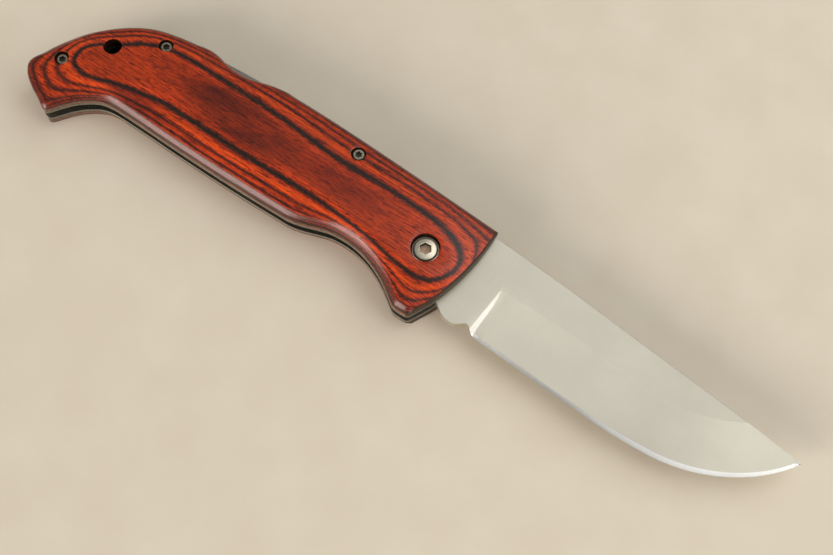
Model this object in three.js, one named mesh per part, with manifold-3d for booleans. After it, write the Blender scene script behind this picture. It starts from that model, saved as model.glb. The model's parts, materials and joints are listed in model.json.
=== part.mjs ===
// Folding pocket knife with a lock bar in its spine, lying open on its lower scale. Millimetres.
// It is drawn about the blade's pivot: x runs to the blade's tip, y to the spine, and z up from the table.
// At the end the whole knife is moved so that the origin is the middle of the space that it stands on.

import * as THREE from 'three';
import { mergeVertices } from 'three/addons/utils/BufferGeometryUtils.js';
import Module from 'manifold-3d';

const wasm = await Module();
wasm.setup();

// Thicknesses of the layers, from the table up
const scaleThickness = 5;
const linerThickness = 0.9;
const washerThickness = 0.2;
const bladeThickness = 2.8;

// Gaps between pieces
const runningGap = 0.06;
const looseGap = 0.3;
const edgeSetback = 0.2;
const leastStep = 0.05;

// Reach of the main pieces from the pivot axis
const bladeReach = 107.1;
const buttMargin = 10.9;
const handleFront = 12.7;
const spineAtFront = 14.8;
const spineCrest = 17.35;
const bellyDepth = 12.15;
const guardDepth = 16.9;
const guardWidth = 4.4;
const guardSetback = 7.3;
const buttDepth = 22.35;
const grooveRise = 3.6;

// Thumb recess in the spine, measured forward from the butt
const recessFromButt = 50;
const recessFloor = 14.5;

// Crown of the scales. Its height falls with the share of the way from the field's border to the rim,
// and starts to fall a little inside the field. In front the rim is taken to lie past the handle's end.
const crownFieldDrop = 0.46;
const crownFlatShare = 0.375;
const crownPower = 1.5;
const rimOverhang = 4;
const rimOverhangFrom = 4;
const leastWall = 0.6;
const edgeRoundness = 2.2;
const frontRoundness = 0.7;
const frontBorder = 2;
const roundnessChange = 8;
const edgeInsets = [0, 0.12, 0.45, 0.95];

// Blade
const ricassoDepth = 11.55;
const edgeBelly = 13.5;
const tipHeight = 5.85;
const plungeStart = 19.4;
const plungeLength = 1.3;
const plungeLean = 0.13;
const grindHeight = 2.9;
const edgeBevel = 0.9;
const edgeBevelShare = 0.6;
const edgeBevelThickness = 0.5;
const edgeLand = 0.06;
const choilSetback = 0.6;
const choilRadius = 2.8;
const choilDrop = 1.05;
const tangRadius = 9.4;
const notchDepth = 1.5;
const notchAngle = 104;
const notchSpan = 35;
const notchRamp = 6;
const notchEndSpan = 2;
const seatDepth = 0.5;
const seatAngle = 281;
const seatSpan = 30;
const seatStartSpan = 1;

// Lock bar and its spring; the bar's thumb end and the spring's tip are measured from the butt
const lockPinPlace = 28.9;
const lockPinHeight = 12.4;
const lockBarNose = 3;
const lockBarEndFromButt = 39;
const noseBack = 7;
const noseLean = 1.2;
const frontArmUnderside = 10.6;
const rearArmUnderside = 10.2;
const armRampAhead = 6;
const armRampBehind = 8;
const lockBossRadius = 2.9;
const springThickness = 0.8;
const springSideGap = 0.1;
const springTipFromButt = 43.4;
const springRise = 2.7;
const springSeat = 12;
const springSeatWall = 1.8;

// Back spacer
const spacerUnderside = 9.9;
const spacerFrontDrop = 4.6;
const spacerStartAngle = 187;
const spacerEndAngle = 182.5;
const cordHoleWall = 2.2;
const tipClearance = 0.95;

// Fasteners
const sleeveRadius = 2.5;
const pivotShankRadius = 1.5;
const pivotHeadRadius = 3.5;
const pivotHeadHeight = 2.2;
const pivotDomeHeight = 0.55;
const pivotFlatRadius = 2.6;
const pivotRecess = 0.8;
const pivotHeadGap = 0.35;
const hexAcrossFlats = 3;
const hexDepth = 1.5;
const washerRadius = 4.5;
const barrelRadius = 1.5;
const screwShankRadius = 1;
const screwEndGap = 0.2;
const screwHeadRadius = 1.575;
const screwHeadHeight = 1.1;
const screwHeadChamfer = 0.2;
const lobeMiddleRadius = 0.83;
const lobeHeight = 0.13;
const lobeDepth = 0.75;
const screwHeadGap = 0.425;
const lockScrewRecess = 1.8;
const frontScrewRecess = 1.7;
const rearScrewRecess = 2.2;
const cordHoleRadius = 2.5;
const cordHoleChamfer = 0.35;

// Places of the butt's fasteners and of the cord hole, measured forward from the butt
const rearScrewFromButt = 7.8;
const rearScrewHeight = -8;
const frontScrewFromButt = 29;
const frontScrewHeight = 9.9;
const cordHoleFromButt = 17.5;
const cordHoleHeight = 1.85;

// Fineness of the curved surfaces
const outlineStep = 3.8;
const arcStepAngle = 12;
const recessStep = 1.6;
const crownCellLength = 4.8;
const crownCellWidth = 3;
const bladeStep = 3.6;
const tipCrowding = 1.15;
const roundSides = 32;
const smallSides = 16;
const lobeSides = 24;
const roundedCornerSides = 3;
const fieldSides = 90;

// How far a cutting tool runs past what it cuts, and how far a joined piece runs into the other
const toolOverrun = 1;
const weldOverlap = 0.01;

// Heights and places that follow from the values above
const channelBottom = scaleThickness + linerThickness;
const bladeBottom = channelBottom + washerThickness;
const bladeTop = bladeBottom + bladeThickness;
const channelTop = bladeTop + washerThickness;
const upperScaleBottom = channelTop + linerThickness;
const handleTop = upperScaleBottom + scaleThickness;
const midHeight = handleTop / 2;
const butt = -(bladeReach + buttMargin);
const middle = butt / 2;
const grooveDepth = bellyDepth - grooveRise;
const plateEnd = plungeStart - 2;
const choilPlace = plungeStart - choilSetback;
const lockBarEnd = butt + lockBarEndFromButt;
const springHeight = rearArmUnderside - looseGap - springThickness / 2;
const springSeatHeight = springHeight - springRise;
const pivotHeadSeat = handleTop - pivotRecess - pivotHeadHeight;
const deepestRecess = Math.max(lockScrewRecess, frontScrewRecess, rearScrewRecess);
const screwShankLength = midHeight - deepestRecess - screwHeadHeight - screwEndGap;
const farAway = 2 * bladeReach;

const at = (x, y) => new THREE.Vector2(x, y);

const rearScrew = at(butt + rearScrewFromButt, rearScrewHeight);
const frontScrew = at(butt + frontScrewFromButt, frontScrewHeight);
const cordHole = at(butt + cordHoleFromButt, cordHoleHeight);
const lockPin = at(-lockPinPlace, lockPinHeight);
const pivot = at(0, 0);

// The posts that hold the handle together, and how deep their screw heads lie
const posts = [
  { name: 'lock_bar', centre: lockPin, recess: lockScrewRecess },
  { name: 'front_spacer', centre: frontScrew, recess: frontScrewRecess },
  { name: 'rear_spacer', centre: rearScrew, recess: rearScrewRecess },
];

// Sides of the handle's outline, each as the points that its curve runs through
const guardTip = at(handleFront - guardSetback, -guardDepth);
const frontTop = at(handleFront - 0.1, spineAtFront);
const buttTip = at(butt, -buttDepth + 8.85);
const buttHeel = at(butt + 12.2, -buttDepth);
const guardRoot = at(guardTip.x - guardWidth, -guardDepth);

const frontSide = [
  guardTip,
  at(handleFront - 3.5, -9),
  at(handleFront - 1.05, 0),
  at(handleFront - 0.2, 6.5),
  at(handleFront, 11),
  frontTop,
];
const spineSide = [
  frontTop,
  at(0, spineCrest - 1.85),
  at(-20, spineCrest - 0.85),
  at(-40, spineCrest - 0.1),
  at(middle + 5, spineCrest),
  at(butt + 52, spineCrest - 0.35),
  at(butt + 42, spineCrest - 0.95),
  at(butt + 34, spineCrest - 1.75),
  at(butt + 28, spineCrest - 2.7),
  at(butt + 22, spineCrest - 4.45),
  at(butt + 16, spineCrest - 7.95),
  at(butt + 10, spineCrest - 13.3),
  at(butt + 6, spineCrest - 18.2),
  at(butt + 2.4, spineCrest - 24.4),
  buttTip,
];
const endFace = [
  buttTip,
  at(butt + 1.1, -buttDepth + 7.25),
  at(butt + 3.2, -buttDepth + 5.25),
  at(butt + 5.5, -buttDepth + 3.75),
  at(butt + 8.5, -buttDepth + 2.2),
  buttHeel,
];
const bellySide = [
  buttHeel,
  at(butt + 14.6, -buttDepth + 3.1),
  at(butt + 16.5, -bellyDepth - 4.75),
  at(butt + 18.4, -bellyDepth - 2.95),
  at(butt + 20.5, -bellyDepth - 1.35),
  at(butt + 22.8, -bellyDepth - 0.05),
  at(butt + 25.4, -bellyDepth + 0.6),
  at(butt + 29, -bellyDepth + 0.75),
  at(butt + 34, -bellyDepth + 0.7),
  at(butt + 46, -bellyDepth + 0.3),
  at(middle + 4, -bellyDepth),
  at(-40, -bellyDepth + 0.1),
  at(-33.5, -bellyDepth + 0.35),
  at(-29, -grooveDepth - 2),
  at(-24, -grooveDepth - 0.4),
  at(-19.5, -grooveDepth),
  at(-15, -grooveDepth - 0.35),
  at(-10.5, -grooveDepth - 1.6),
  at(-6, -grooveDepth - 3.6),
  at(-2.3, -grooveDepth - 6),
  guardRoot,
];
const guardFoot = [guardRoot, guardTip];

// Lower side of what the thumb recess cuts away. Its ends lie just outside the spine.
const recessSide = [
  at(butt + recessFromButt - 15, recessFloor + 1.45),
  at(butt + recessFromButt - 12, recessFloor + 1.65),
  at(butt + recessFromButt - 10, recessFloor + 1.6),
  at(butt + recessFromButt - 8, recessFloor + 1.3),
  at(butt + recessFromButt - 6.2, recessFloor + 0.8),
  at(butt + recessFromButt - 3.8, recessFloor + 0.25),
  at(butt + recessFromButt - 1.2, recessFloor),
  at(butt + recessFromButt + 1.2, recessFloor + 0.05),
  at(butt + recessFromButt + 3.2, recessFloor + 0.4),
  at(butt + recessFromButt + 5.2, recessFloor + 1),
  at(butt + recessFromButt + 7.6, recessFloor + 1.75),
  at(butt + recessFromButt + 9.8, recessFloor + 2.3),
  at(butt + recessFromButt + 12, recessFloor + 2.65),
  at(butt + recessFromButt + 14, recessFloor + 2.95),
];

// Border of the nearly flat field on top of each scale
const crownField = [
  at(7.9, -4.4),
  at(9.5, -0.6),
  at(9, 2.6),
  at(5.6, 5.7),
  at(0.5, 7.4),
  at(-12, 8.4),
  at(-30, 8.2),
  at(-41, 8.7),
  at(middle + 9, 9.5),
  at(butt + 58, 10),
  at(butt + 42, 10.2),
  at(butt + 34, 9.9),
  at(butt + 28, 8.7),
  at(butt + 23, 6.4),
  at(butt + 18.5, 3.1),
  at(butt + 12.7, -0.9),
  at(butt + 10.9, -4.2),
  at(butt + 11.5, -7.4),
  at(butt + 14.5, -8.9),
  at(butt + 18.5, -8.6),
  at(butt + 22.1, -7.3),
  at(butt + 30.3, -5.3),
  at(butt + 38.7, -4.2),
  at(butt + 48, -4.1),
  at(middle - 1, -4.5),
  at(-40, -4.3),
  at(-29, -4.3),
  at(-21.3, -4.8),
  at(-13.3, -5.6),
  at(-4.9, -7.2),
  at(2, -7.8),
  at(5.7, -6.7),
];

// Top and bottom edges of the blade and the line where its grind starts
const bladeSpine = [
  at(-lockBarNose, spineCrest - 2.3),
  at(12, tipHeight + 8.25),
  at(36, tipHeight + 6.55),
  at(60, tipHeight + 4.3),
  at(84, tipHeight + 2.15),
  at(bladeReach - 5, tipHeight + 0.4),
  at(bladeReach, tipHeight),
];
const bladeEdge = [
  at(choilPlace, -ricassoDepth + 0.1),
  at(30, -edgeBelly + 1.6),
  at(45, -edgeBelly + 0.75),
  at(bladeReach - 45, -edgeBelly),
  at(bladeReach - 37, -edgeBelly + 0.15),
  at(bladeReach - 31, -edgeBelly + 0.6),
  at(bladeReach - 26, -edgeBelly + 1.5),
  at(bladeReach - 20, -edgeBelly + 3.35),
  at(bladeReach - 14, -edgeBelly + 6.2),
  at(bladeReach - 9, -edgeBelly + 9.5),
  at(bladeReach - 5, -edgeBelly + 13),
  at(bladeReach - 2, -edgeBelly + 16.4),
  at(bladeReach, tipHeight - 0.25),
];
const grindLine = [
  at(plungeStart, grindHeight),
  at(40, grindHeight - 0.4),
  at(bladeReach - 50, grindHeight - 1.4),
  at(bladeReach - 39, grindHeight - 2.1),
  at(bladeReach - 32, grindHeight - 1.7),
  at(bladeReach - 27, grindHeight - 0.6),
  at(bladeReach - 21, grindHeight + 1.7),
  at(bladeReach - 15, grindHeight + 4.9),
];
const ricassoUnderside = [
  at(plateEnd - 8.8, -ricassoDepth + 2.95),
  at(plateEnd - 7, -ricassoDepth + 1.6),
  at(plateEnd - 5.2, -ricassoDepth + 0.5),
  at(plateEnd - 3.4, -ricassoDepth + 0.02),
  at(plateEnd - 1.6, -ricassoDepth),
];

// Points about one step apart on a smooth curve through the given points, or the two ends of a line
function smooth(points, step) {
  if (points.length === 2) {
    return [...points];
  }
  const through = points.map((p) => new THREE.Vector3(p.x, p.y, 0));
  const curve = new THREE.CatmullRomCurve3(through, false, 'centripetal');
  const count = Math.max(4, Math.round(curve.getLength() / step));
  return curve.getSpacedPoints(count).map((p) => at(p.x, p.y));
}

// A closed outline from sides that meet in corners, each rounded over its own reach, or sharp at none
function closedOutline(sides, reaches, step) {
  const drawn = sides.map((side) => smooth(side, step));
  const outline = [];
  sides.forEach((side, index) => {
    const nextIndex = (index + 1) % sides.length;
    const start = side[0];
    const corner = side.at(-1);
    const startReach = reaches[index];
    const endReach = reaches[nextIndex];
    const kept = drawn[index].filter(
      (p) => p.distanceTo(start) > startReach && p.distanceTo(corner) > endReach,
    );
    if (endReach === 0) {
      outline.push(...kept, corner);
      return;
    }
    const before = drawn[index].findLast((p) => p.distanceTo(corner) > endReach);
    const after = drawn[nextIndex].find((p) => p.distanceTo(corner) > endReach);
    const from = before.clone().sub(corner).setLength(endReach).add(corner);
    const to = after.clone().sub(corner).setLength(endReach).add(corner);
    const bend = new THREE.QuadraticBezierCurve(from, corner, to);
    outline.push(...kept, ...bend.getPoints(roundedCornerSides));
  });
  return outline;
}

// The outline drawn inwards by a distance, point by point
function inset(outline, distance) {
  return outline.map((point, index) => {
    const before = outline.at(index - 1);
    const after = outline[(index + 1) % outline.length];
    const first = point.clone().sub(before).normalize();
    const second = after.clone().sub(point).normalize();
    const inward = at(-first.y - second.y, first.x + second.x).normalize();
    const half = inward.dot(at(-first.y, first.x));
    return inward.multiplyScalar(distance / half).add(point);
  });
}

// Distance from a point to a closed outline, negative inside it
function signedDistance(outline, x, y) {
  let nearest = Infinity;
  let inside = false;
  outline.forEach((start, index) => {
    const end = outline[(index + 1) % outline.length];
    const run = end.clone().sub(start);
    const along = THREE.MathUtils.clamp(at(x, y).sub(start).dot(run) / run.lengthSq(), 0, 1);
    nearest = Math.min(nearest, run.multiplyScalar(along).add(start).distanceTo(at(x, y)));
    const crosses = (start.y > y) !== (end.y > y);
    if (crosses && x < ((end.x - start.x) * (y - start.y)) / (end.y - start.y) + start.x) {
      inside = !inside;
    }
  });
  return inside ? -nearest : nearest;
}

// Height of a curve given by its points, at one place along x
function heightAt(curve, x) {
  const index = curve.findIndex((p) => p.x >= x);
  if (index <= 0) {
    return index === 0 ? curve[0].y : curve.at(-1).y;
  }
  const left = curve[index - 1];
  const right = curve[index];
  return THREE.MathUtils.mapLinear(x, left.x, right.x, left.y, right.y);
}

// A closed solid through rings of equally many points. Its two flat ends are filled by triangles
// of a ring's points, which run counterclockwise where the last ring's face looks.
function loft(rings, fill) {
  const count = rings[0].length;
  const positions = rings.flat().flatMap((p) => [p.x, p.y, p.z]);
  const faces = [];
  for (let ring = 0; ring + 1 < rings.length; ring += 1) {
    for (let side = 0; side < count; side += 1) {
      const a = ring * count + side;
      const b = ring * count + ((side + 1) % count);
      faces.push(a, b, b + count, a, b + count, a + count);
    }
  }
  const last = (rings.length - 1) * count;
  fill(rings[0]).forEach(([a, b, c]) => {
    faces.push(a, c, b);
  });
  fill(rings.at(-1)).forEach(([a, b, c]) => {
    faces.push(last + a, last + b, last + c);
  });
  const geometry = new THREE.BufferGeometry();
  geometry.setAttribute('position', new THREE.Float32BufferAttribute(positions, 3));
  geometry.setIndex(faces);
  return toSolid(geometry);
}

function levelRing(outline, height) {
  return outline.map((p) => new THREE.Vector3(p.x, p.y, height));
}

// Triangles that fill a level ring of any form without straight runs of points
function fillLevel(ring) {
  return THREE.ShapeUtils.triangulateShape(ring.map((p) => at(p.x, p.y)), []);
}

// Triangles that fill a ring whose second half comes back opposite its first
function fillAcross(ring) {
  const faces = [];
  for (let low = 0; low + 1 < ring.length / 2; low += 1) {
    const high = ring.length - 1 - low;
    faces.push([low, low + 1, high - 1], [low, high - 1, high]);
  }
  return faces;
}

function prism(outline, bottom, top) {
  return loft([levelRing(outline, bottom), levelRing(outline, top)], fillLevel);
}

// A prism that runs past both faces of the plate that it cuts
function through(outline, bottom, top) {
  return prism(outline, bottom - toolOverrun, top + toolOverrun);
}

function circle(centre, radius, sides) {
  return Array.from({ length: sides }, (_, index) => {
    const angle = (2 * Math.PI * index) / sides;
    return at(centre.x + radius * Math.cos(angle), centre.y + radius * Math.sin(angle));
  });
}

// Points on an arc about the pivot, between two angles in degrees
function pivotArc(radius, from, to) {
  const count = Math.max(2, Math.ceil(Math.abs(to - from) / arcStepAngle));
  return Array.from({ length: count + 1 }, (_, index) => {
    const angle = THREE.MathUtils.degToRad(from + ((to - from) * index) / count);
    return at(radius * Math.cos(angle), radius * Math.sin(angle));
  });
}

function cylinder(centre, radius, bottom, top, sides = roundSides) {
  return prism(circle(centre, radius, sides), bottom, top);
}

function bore(centre, radius, bottom, top, sides = roundSides) {
  return through(circle(centre, radius, sides), bottom, top);
}

// A turned solid about the z axis, from a profile of (radius, height) points
function turned(profile, sides = roundSides) {
  const geometry = new THREE.LatheGeometry(profile, sides);
  geometry.rotateX(Math.PI / 2);
  return toSolid(geometry);
}

// Solids for joining and cutting, and back to drawable geometry
function toSolid(geometry) {
  const bare = geometry.clone();
  bare.deleteAttribute('normal');
  bare.deleteAttribute('uv');
  const merged = mergeVertices(bare, 1e-5);
  const mesh = new wasm.Mesh({
    numProp: 3,
    vertProperties: new Float32Array(merged.attributes.position.array),
    triVerts: new Uint32Array(merged.index.array),
  });
  return new wasm.Manifold(mesh);
}

function toGeometry(solid) {
  const mesh = solid.getMesh();
  const geometry = new THREE.BufferGeometry();
  geometry.setAttribute('position', new THREE.Float32BufferAttribute(mesh.vertProperties, 3));
  geometry.setIndex([...mesh.triVerts]);
  geometry.computeVertexNormals();
  return geometry;
}

function cut(solid, ...tools) {
  return tools.reduce((rest, tool) => rest.subtract(tool), solid);
}

// The same shape turned over to the other side of the knife's middle plane
function mirrored(geometry) {
  const copy = geometry.clone();
  copy.scale(1, 1, -1);
  copy.index.array.forEach((_, index, list) => {
    if (index % 3 === 0) {
      [list[index + 1], list[index + 2]] = [list[index + 2], list[index + 1]];
    }
  });
  copy.computeVertexNormals();
  return copy;
}

const handleOutline = closedOutline(
  [frontSide, spineSide, endFace, bellySide, guardFoot],
  [1.1, 0, 1.8, 1.3, 1],
  outlineStep,
);
const fieldOutline = new THREE.CatmullRomCurve3(
  crownField.map((p) => new THREE.Vector3(p.x, p.y, 0)),
  true,
  'centripetal',
).getSpacedPoints(fieldSides).slice(1).map((p) => at(p.x, p.y));

const rimOutline = handleOutline.map((p) => {
  const forward = THREE.MathUtils.smoothstep(p.x, rimOverhangFrom, handleFront);
  return at(p.x + rimOverhang * forward, p.y);
});

function crownHeight(x, y) {
  const beyondField = signedDistance(fieldOutline, x, y);
  const border = beyondField - signedDistance(rimOutline, x, y);
  const share = beyondField / border;
  const within = Math.max(0, 1 + Math.min(0, share) / crownFlatShare);
  const slope = (crownPower * crownFieldDrop) / crownFlatShare;
  const drop = crownFieldDrop * within ** crownPower + slope * Math.max(0, share);
  return scaleThickness - drop;
}

// How far the rounded edge of a scale lies below its crown, near the outline; it is crisper in front
function edgeDrop(distance, x) {
  const crispFrom = handleFront - frontBorder;
  const toFront = THREE.MathUtils.smoothstep(x, crispFrom - roundnessChange, crispFrom);
  const radius = THREE.MathUtils.lerp(edgeRoundness, frontRoundness, toFront);
  const inward = Math.max(0, radius - distance);
  return radius - Math.sqrt(radius * radius - inward * inward);
}

// A block with the crown of a scale as its top, reaching below the scale, for cutting to the outline
function crownBlock() {
  const box = new THREE.Box2().setFromPoints(handleOutline).expandByScalar(toolOverrun);
  const size = box.getSize(at(0, 0));
  const columns = Math.ceil(size.x / crownCellLength);
  const rows = Math.ceil(size.y / crownCellWidth);
  const geometry = new THREE.BoxGeometry(size.x, size.y, scaleThickness, columns, rows, 1);
  const centre = box.getCenter(at(0, 0));
  geometry.translate(centre.x, centre.y, 0);
  const position = geometry.attributes.position;
  for (let index = 0; index < position.count; index += 1) {
    const top = position.getZ(index) > 0;
    position.setZ(index, top ? crownHeight(position.getX(index), position.getY(index)) : -toolOverrun);
  }
  return toSolid(geometry);
}

// What the thumb recess takes out of a scale or liner of this thickness
function thumbRecess(thickness) {
  const side = smooth(recessSide, recessStep);
  return through([...side, at(side.at(-1).x, farAway), at(side[0].x, farAway)], 0, thickness);
}

// One scale, with its flat side on z = 0 and its crown up
function makeScale() {
  const edgeRings = edgeInsets.map((distance) => {
    return inset(handleOutline, distance).map((p) => {
      const height = Math.max(leastWall, crownHeight(p.x, p.y) - edgeDrop(distance, p.x));
      return new THREE.Vector3(p.x, p.y, height);
    });
  });
  const above = scaleThickness + toolOverrun;
  const topRing = levelRing(inset(handleOutline, edgeInsets.at(-1)), above);
  const walls = loft([levelRing(handleOutline, 0), ...edgeRings, topRing], fillLevel);
  const cordTop = crownHeight(cordHole.x, cordHole.y);
  const cordRim = cordHoleRadius + cordHoleChamfer;
  const cordChamfer = turned([
    at(0, cordTop - cordRim),
    at(cordRim, cordTop),
    at(cordRim + toolOverrun, cordTop + toolOverrun),
    at(0, cordTop + toolOverrun),
  ]).translate([cordHole.x, cordHole.y, 0]);
  const screwHoles = posts.flatMap(({ centre, recess }) => {
    const floor = scaleThickness - recess - screwHeadHeight;
    return [
      bore(centre, screwShankRadius + 2 * runningGap, 0, scaleThickness, smallSides),
      bore(centre, screwHeadRadius + screwHeadGap, floor + toolOverrun, scaleThickness, smallSides),
    ];
  });
  const pivotFloor = pivotHeadSeat - upperScaleBottom;
  return cut(
    walls.intersect(crownBlock()),
    thumbRecess(scaleThickness),
    bore(pivot, sleeveRadius + runningGap, 0, scaleThickness),
    cylinder(pivot, pivotHeadRadius + pivotHeadGap, pivotFloor, above),
    bore(cordHole, cordHoleRadius, 0, scaleThickness, smallSides),
    cordChamfer,
    ...screwHoles,
  );
}

function makeLiner() {
  const barrelHoles = posts.map(({ centre }) => {
    return bore(centre, barrelRadius + runningGap, 0, linerThickness, smallSides);
  });
  return cut(
    prism(handleOutline, 0, linerThickness),
    thumbRecess(linerThickness),
    bore(pivot, sleeveRadius + runningGap, 0, linerThickness),
    bore(cordHole, cordHoleRadius, 0, linerThickness, smallSides),
    ...barrelHoles,
  );
}

const smoothSpine = smooth(bladeSpine, 2);
const smoothEdge = smooth(bladeEdge, 1.2);
const smoothGrind = smooth(grindLine, 1.2);

// Cross-section of the blade at one place along it, from the edge round over the spine.
// Where the grind line reaches the spine, the spine itself gets thinner.
function bladeSection(x, ground, lean = 0) {
  const full = bladeThickness / 2;
  const spine = heightAt(smoothSpine, x);
  const edge = heightAt(smoothEdge, x);
  const grind = heightAt(smoothGrind, x);
  const shoulder = Math.min(spine - leastStep, grind);
  const bevelTop = edge + Math.min(edgeBevel, edgeBevelShare * (shoulder - edge));
  const bevelHalf = edgeBevelThickness / 2;
  const slope = (full - bevelHalf) / (grindHeight + ricassoDepth - edgeBevel);
  const tapered = Math.min(full, bevelHalf + slope * (shoulder - bevelTop));
  const shoulderHalf = ground && grind > shoulder ? tapered : full;
  const halves = [
    [edge, ground ? edgeLand / 2 : full],
    [bevelTop, ground ? bevelHalf : full],
    [shoulder, shoulderHalf],
    [spine, shoulderHalf],
  ];
  const lower = halves.map(([y, z]) => [y, -z]);
  const upper = halves.reverse();
  return [...lower, ...upper].map(([y, z]) => new THREE.Vector3(x + lean * y, y, z));
}

// The blade with its tang, its middle plane on z = 0
function makeBlade() {
  const full = bladeThickness / 2;
  const shoulderX = -lockBarNose + looseGap;
  const top = [1, 2 / 3, 1 / 3, 0].map((share) => {
    const x = THREE.MathUtils.lerp(shoulderX, plateEnd, share);
    return at(x, heightAt(smoothSpine, x));
  });
  const tang = [
    at(plateEnd, -ricassoDepth),
    ...top,
    at(shoulderX, tangRadius - notchDepth),
    ...pivotArc(tangRadius - notchDepth, notchAngle + notchRamp, notchAngle + notchSpan - notchEndSpan),
    ...pivotArc(tangRadius, notchAngle + notchSpan, seatAngle),
    ...pivotArc(tangRadius - seatDepth, seatAngle + seatStartSpan, seatAngle + seatSpan),
    ...smooth(ricassoUnderside, 1.4),
  ];
  const groundFrom = plungeStart + plungeLength;
  const groundLength = bladeReach - groundFrom;
  const count = Math.round(groundLength / bladeStep);
  const stations = Array.from({ length: count }, (_, index) => {
    return groundFrom + groundLength * (1 - (1 - (index + 1) / count) ** tipCrowding);
  });
  const rings = [
    bladeSection(plateEnd - 1, false),
    bladeSection(plungeStart, false, plungeLean),
    bladeSection(groundFrom, true, plungeLean),
    ...stations.map((x) => bladeSection(x, true)),
  ];
  return cut(
    prism(tang, -full, full).add(loft(rings, fillAcross)),
    bore(at(choilPlace, -ricassoDepth - choilDrop), choilRadius, -full, full, smallSides),
    bore(pivot, sleeveRadius + 2 * runningGap, -full, full),
  );
}

// The lock bar: its top follows the spine, and its nose hangs behind the tang's shoulder
function makeLockBar() {
  const noseRadius = tangRadius + looseGap + runningGap;
  const noseAngle = (x) => THREE.MathUtils.radToDeg(Math.acos(-x / noseRadius));
  const region = [
    at(-lockBarNose, farAway),
    at(lockBarEnd, farAway),
    at(lockBarEnd, rearArmUnderside),
    at(lockPin.x - armRampBehind, rearArmUnderside),
    at(lockPin.x + armRampAhead, frontArmUnderside),
    at(-noseBack - noseLean, frontArmUnderside),
    ...pivotArc(noseRadius, noseAngle(noseBack), noseAngle(lockBarNose)),
  ];
  const full = bladeThickness / 2;
  const boss = cylinder(lockPin, lockBossRadius, -full, full);
  const bar = prism(region, -full, full).add(boss);
  return cut(
    bar.intersect(prism(inset(handleOutline, edgeSetback), -full, full)),
    bore(lockPin, barrelRadius + runningGap, -full, full, smallSides),
  );
}

// The leaf spring seen from the side: level in its seat, then rising to the lock bar
function springBand(extra) {
  const tip = at(butt + springTipFromButt, springHeight);
  const seatFront = at(frontScrew.x + 2, springSeatHeight);
  const seatBack = at(seatFront.x - springSeat - extra, springSeatHeight);
  const rise = [seatFront, at(seatFront.x + 4, seatFront.y + 0.25), at(tip.x - 4, tip.y - 0.1), tip];
  const line = [seatBack, ...smooth(rise, 2)];
  const halfBand = springThickness / 2 + extra;
  const over = line.map((p) => at(p.x, p.y + halfBand));
  const under = line.map((p) => at(p.x, p.y - halfBand));
  return [...under, ...over.reverse()];
}

function makeSpring() {
  const half = bladeThickness / 2 - springSideGap;
  return prism(springBand(0), -half, half);
}

// The spacer round the butt, outside the blade's path and with a seat for the spring
function makeSpacer() {
  const half = (channelTop - channelBottom) / 2;
  const tipRadius = Math.hypot(bladeReach, tipHeight) + tipClearance;
  const frontX = lockBarEnd - 2 * looseGap;
  const seatX = frontX - spacerFrontDrop;
  const seatY = springSeatHeight - springThickness / 2 - springSeatWall;
  const cordHoleLow = cordHole.y - cordHoleRadius - cordHoleWall;
  const region = [
    at(frontX, farAway),
    at(-farAway, farAway),
    at(-farAway, buttTip.y + 1.2),
    ...pivotArc(tipRadius, spacerStartAngle, spacerEndAngle),
    at(cordHole.x - 4, cordHoleLow),
    at(cordHole.x + 3, cordHoleLow + 0.3),
    at(seatX - 4, seatY - 1.8),
    at(seatX, seatY),
    at(seatX, spacerUnderside),
    at(frontX, spacerUnderside),
  ];
  return cut(
    prism(inset(handleOutline, edgeSetback), -half, half).intersect(prism(region, -half, half)),
    through(springBand(2 * runningGap), -half, half),
    bore(frontScrew, barrelRadius + runningGap, -half, half, smallSides),
    bore(rearScrew, barrelRadius + runningGap, -half, half, smallSides),
    bore(cordHole, cordHoleRadius, -half, half, smallSides),
  );
}

// Head of the pivot screw or sleeve, its seat on z = 0
function pivotHead() {
  const domeBottom = pivotHeadHeight - pivotDomeHeight;
  const profile = [at(0, 0), at(pivotHeadRadius, 0)];
  [0, 30, 60, 90].forEach((degrees) => {
    const angle = THREE.MathUtils.degToRad(degrees);
    const radius = THREE.MathUtils.lerp(pivotFlatRadius, pivotHeadRadius, Math.cos(angle));
    profile.push(at(radius, domeBottom + pivotDomeHeight * Math.sin(angle)));
  });
  profile.push(at(0, pivotHeadHeight));
  const socket = circle(pivot, hexAcrossFlats / Math.sqrt(3), 6);
  return cut(turned(profile), prism(socket, pivotHeadHeight - hexDepth, pivotHeadHeight + toolOverrun));
}

function makePivotScrew() {
  const shank = cylinder(pivot, pivotShankRadius, bladeBottom - pivotHeadSeat, weldOverlap);
  return pivotHead().add(shank);
}

// The sleeve is drawn with its head up, as the screw is, and is turned over when it is placed
function makePivotSleeve() {
  const length = 2 * (pivotHeadSeat - midHeight) - looseGap;
  const tube = cylinder(pivot, sleeveRadius, -length, weldOverlap);
  const hollow = bore(pivot, pivotShankRadius + runningGap, -length, -looseGap - 2 * toolOverrun);
  return cut(pivotHead().add(tube), hollow);
}

function makeWasher() {
  const hole = bore(pivot, sleeveRadius + runningGap, 0, washerThickness);
  return cut(cylinder(pivot, washerRadius, 0, washerThickness), hole);
}

function makeBarrel() {
  const half = midHeight - scaleThickness;
  const hole = bore(pivot, screwShankRadius + runningGap, -half, half, smallSides);
  return cut(cylinder(pivot, barrelRadius, -half, half, smallSides), hole);
}

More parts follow.
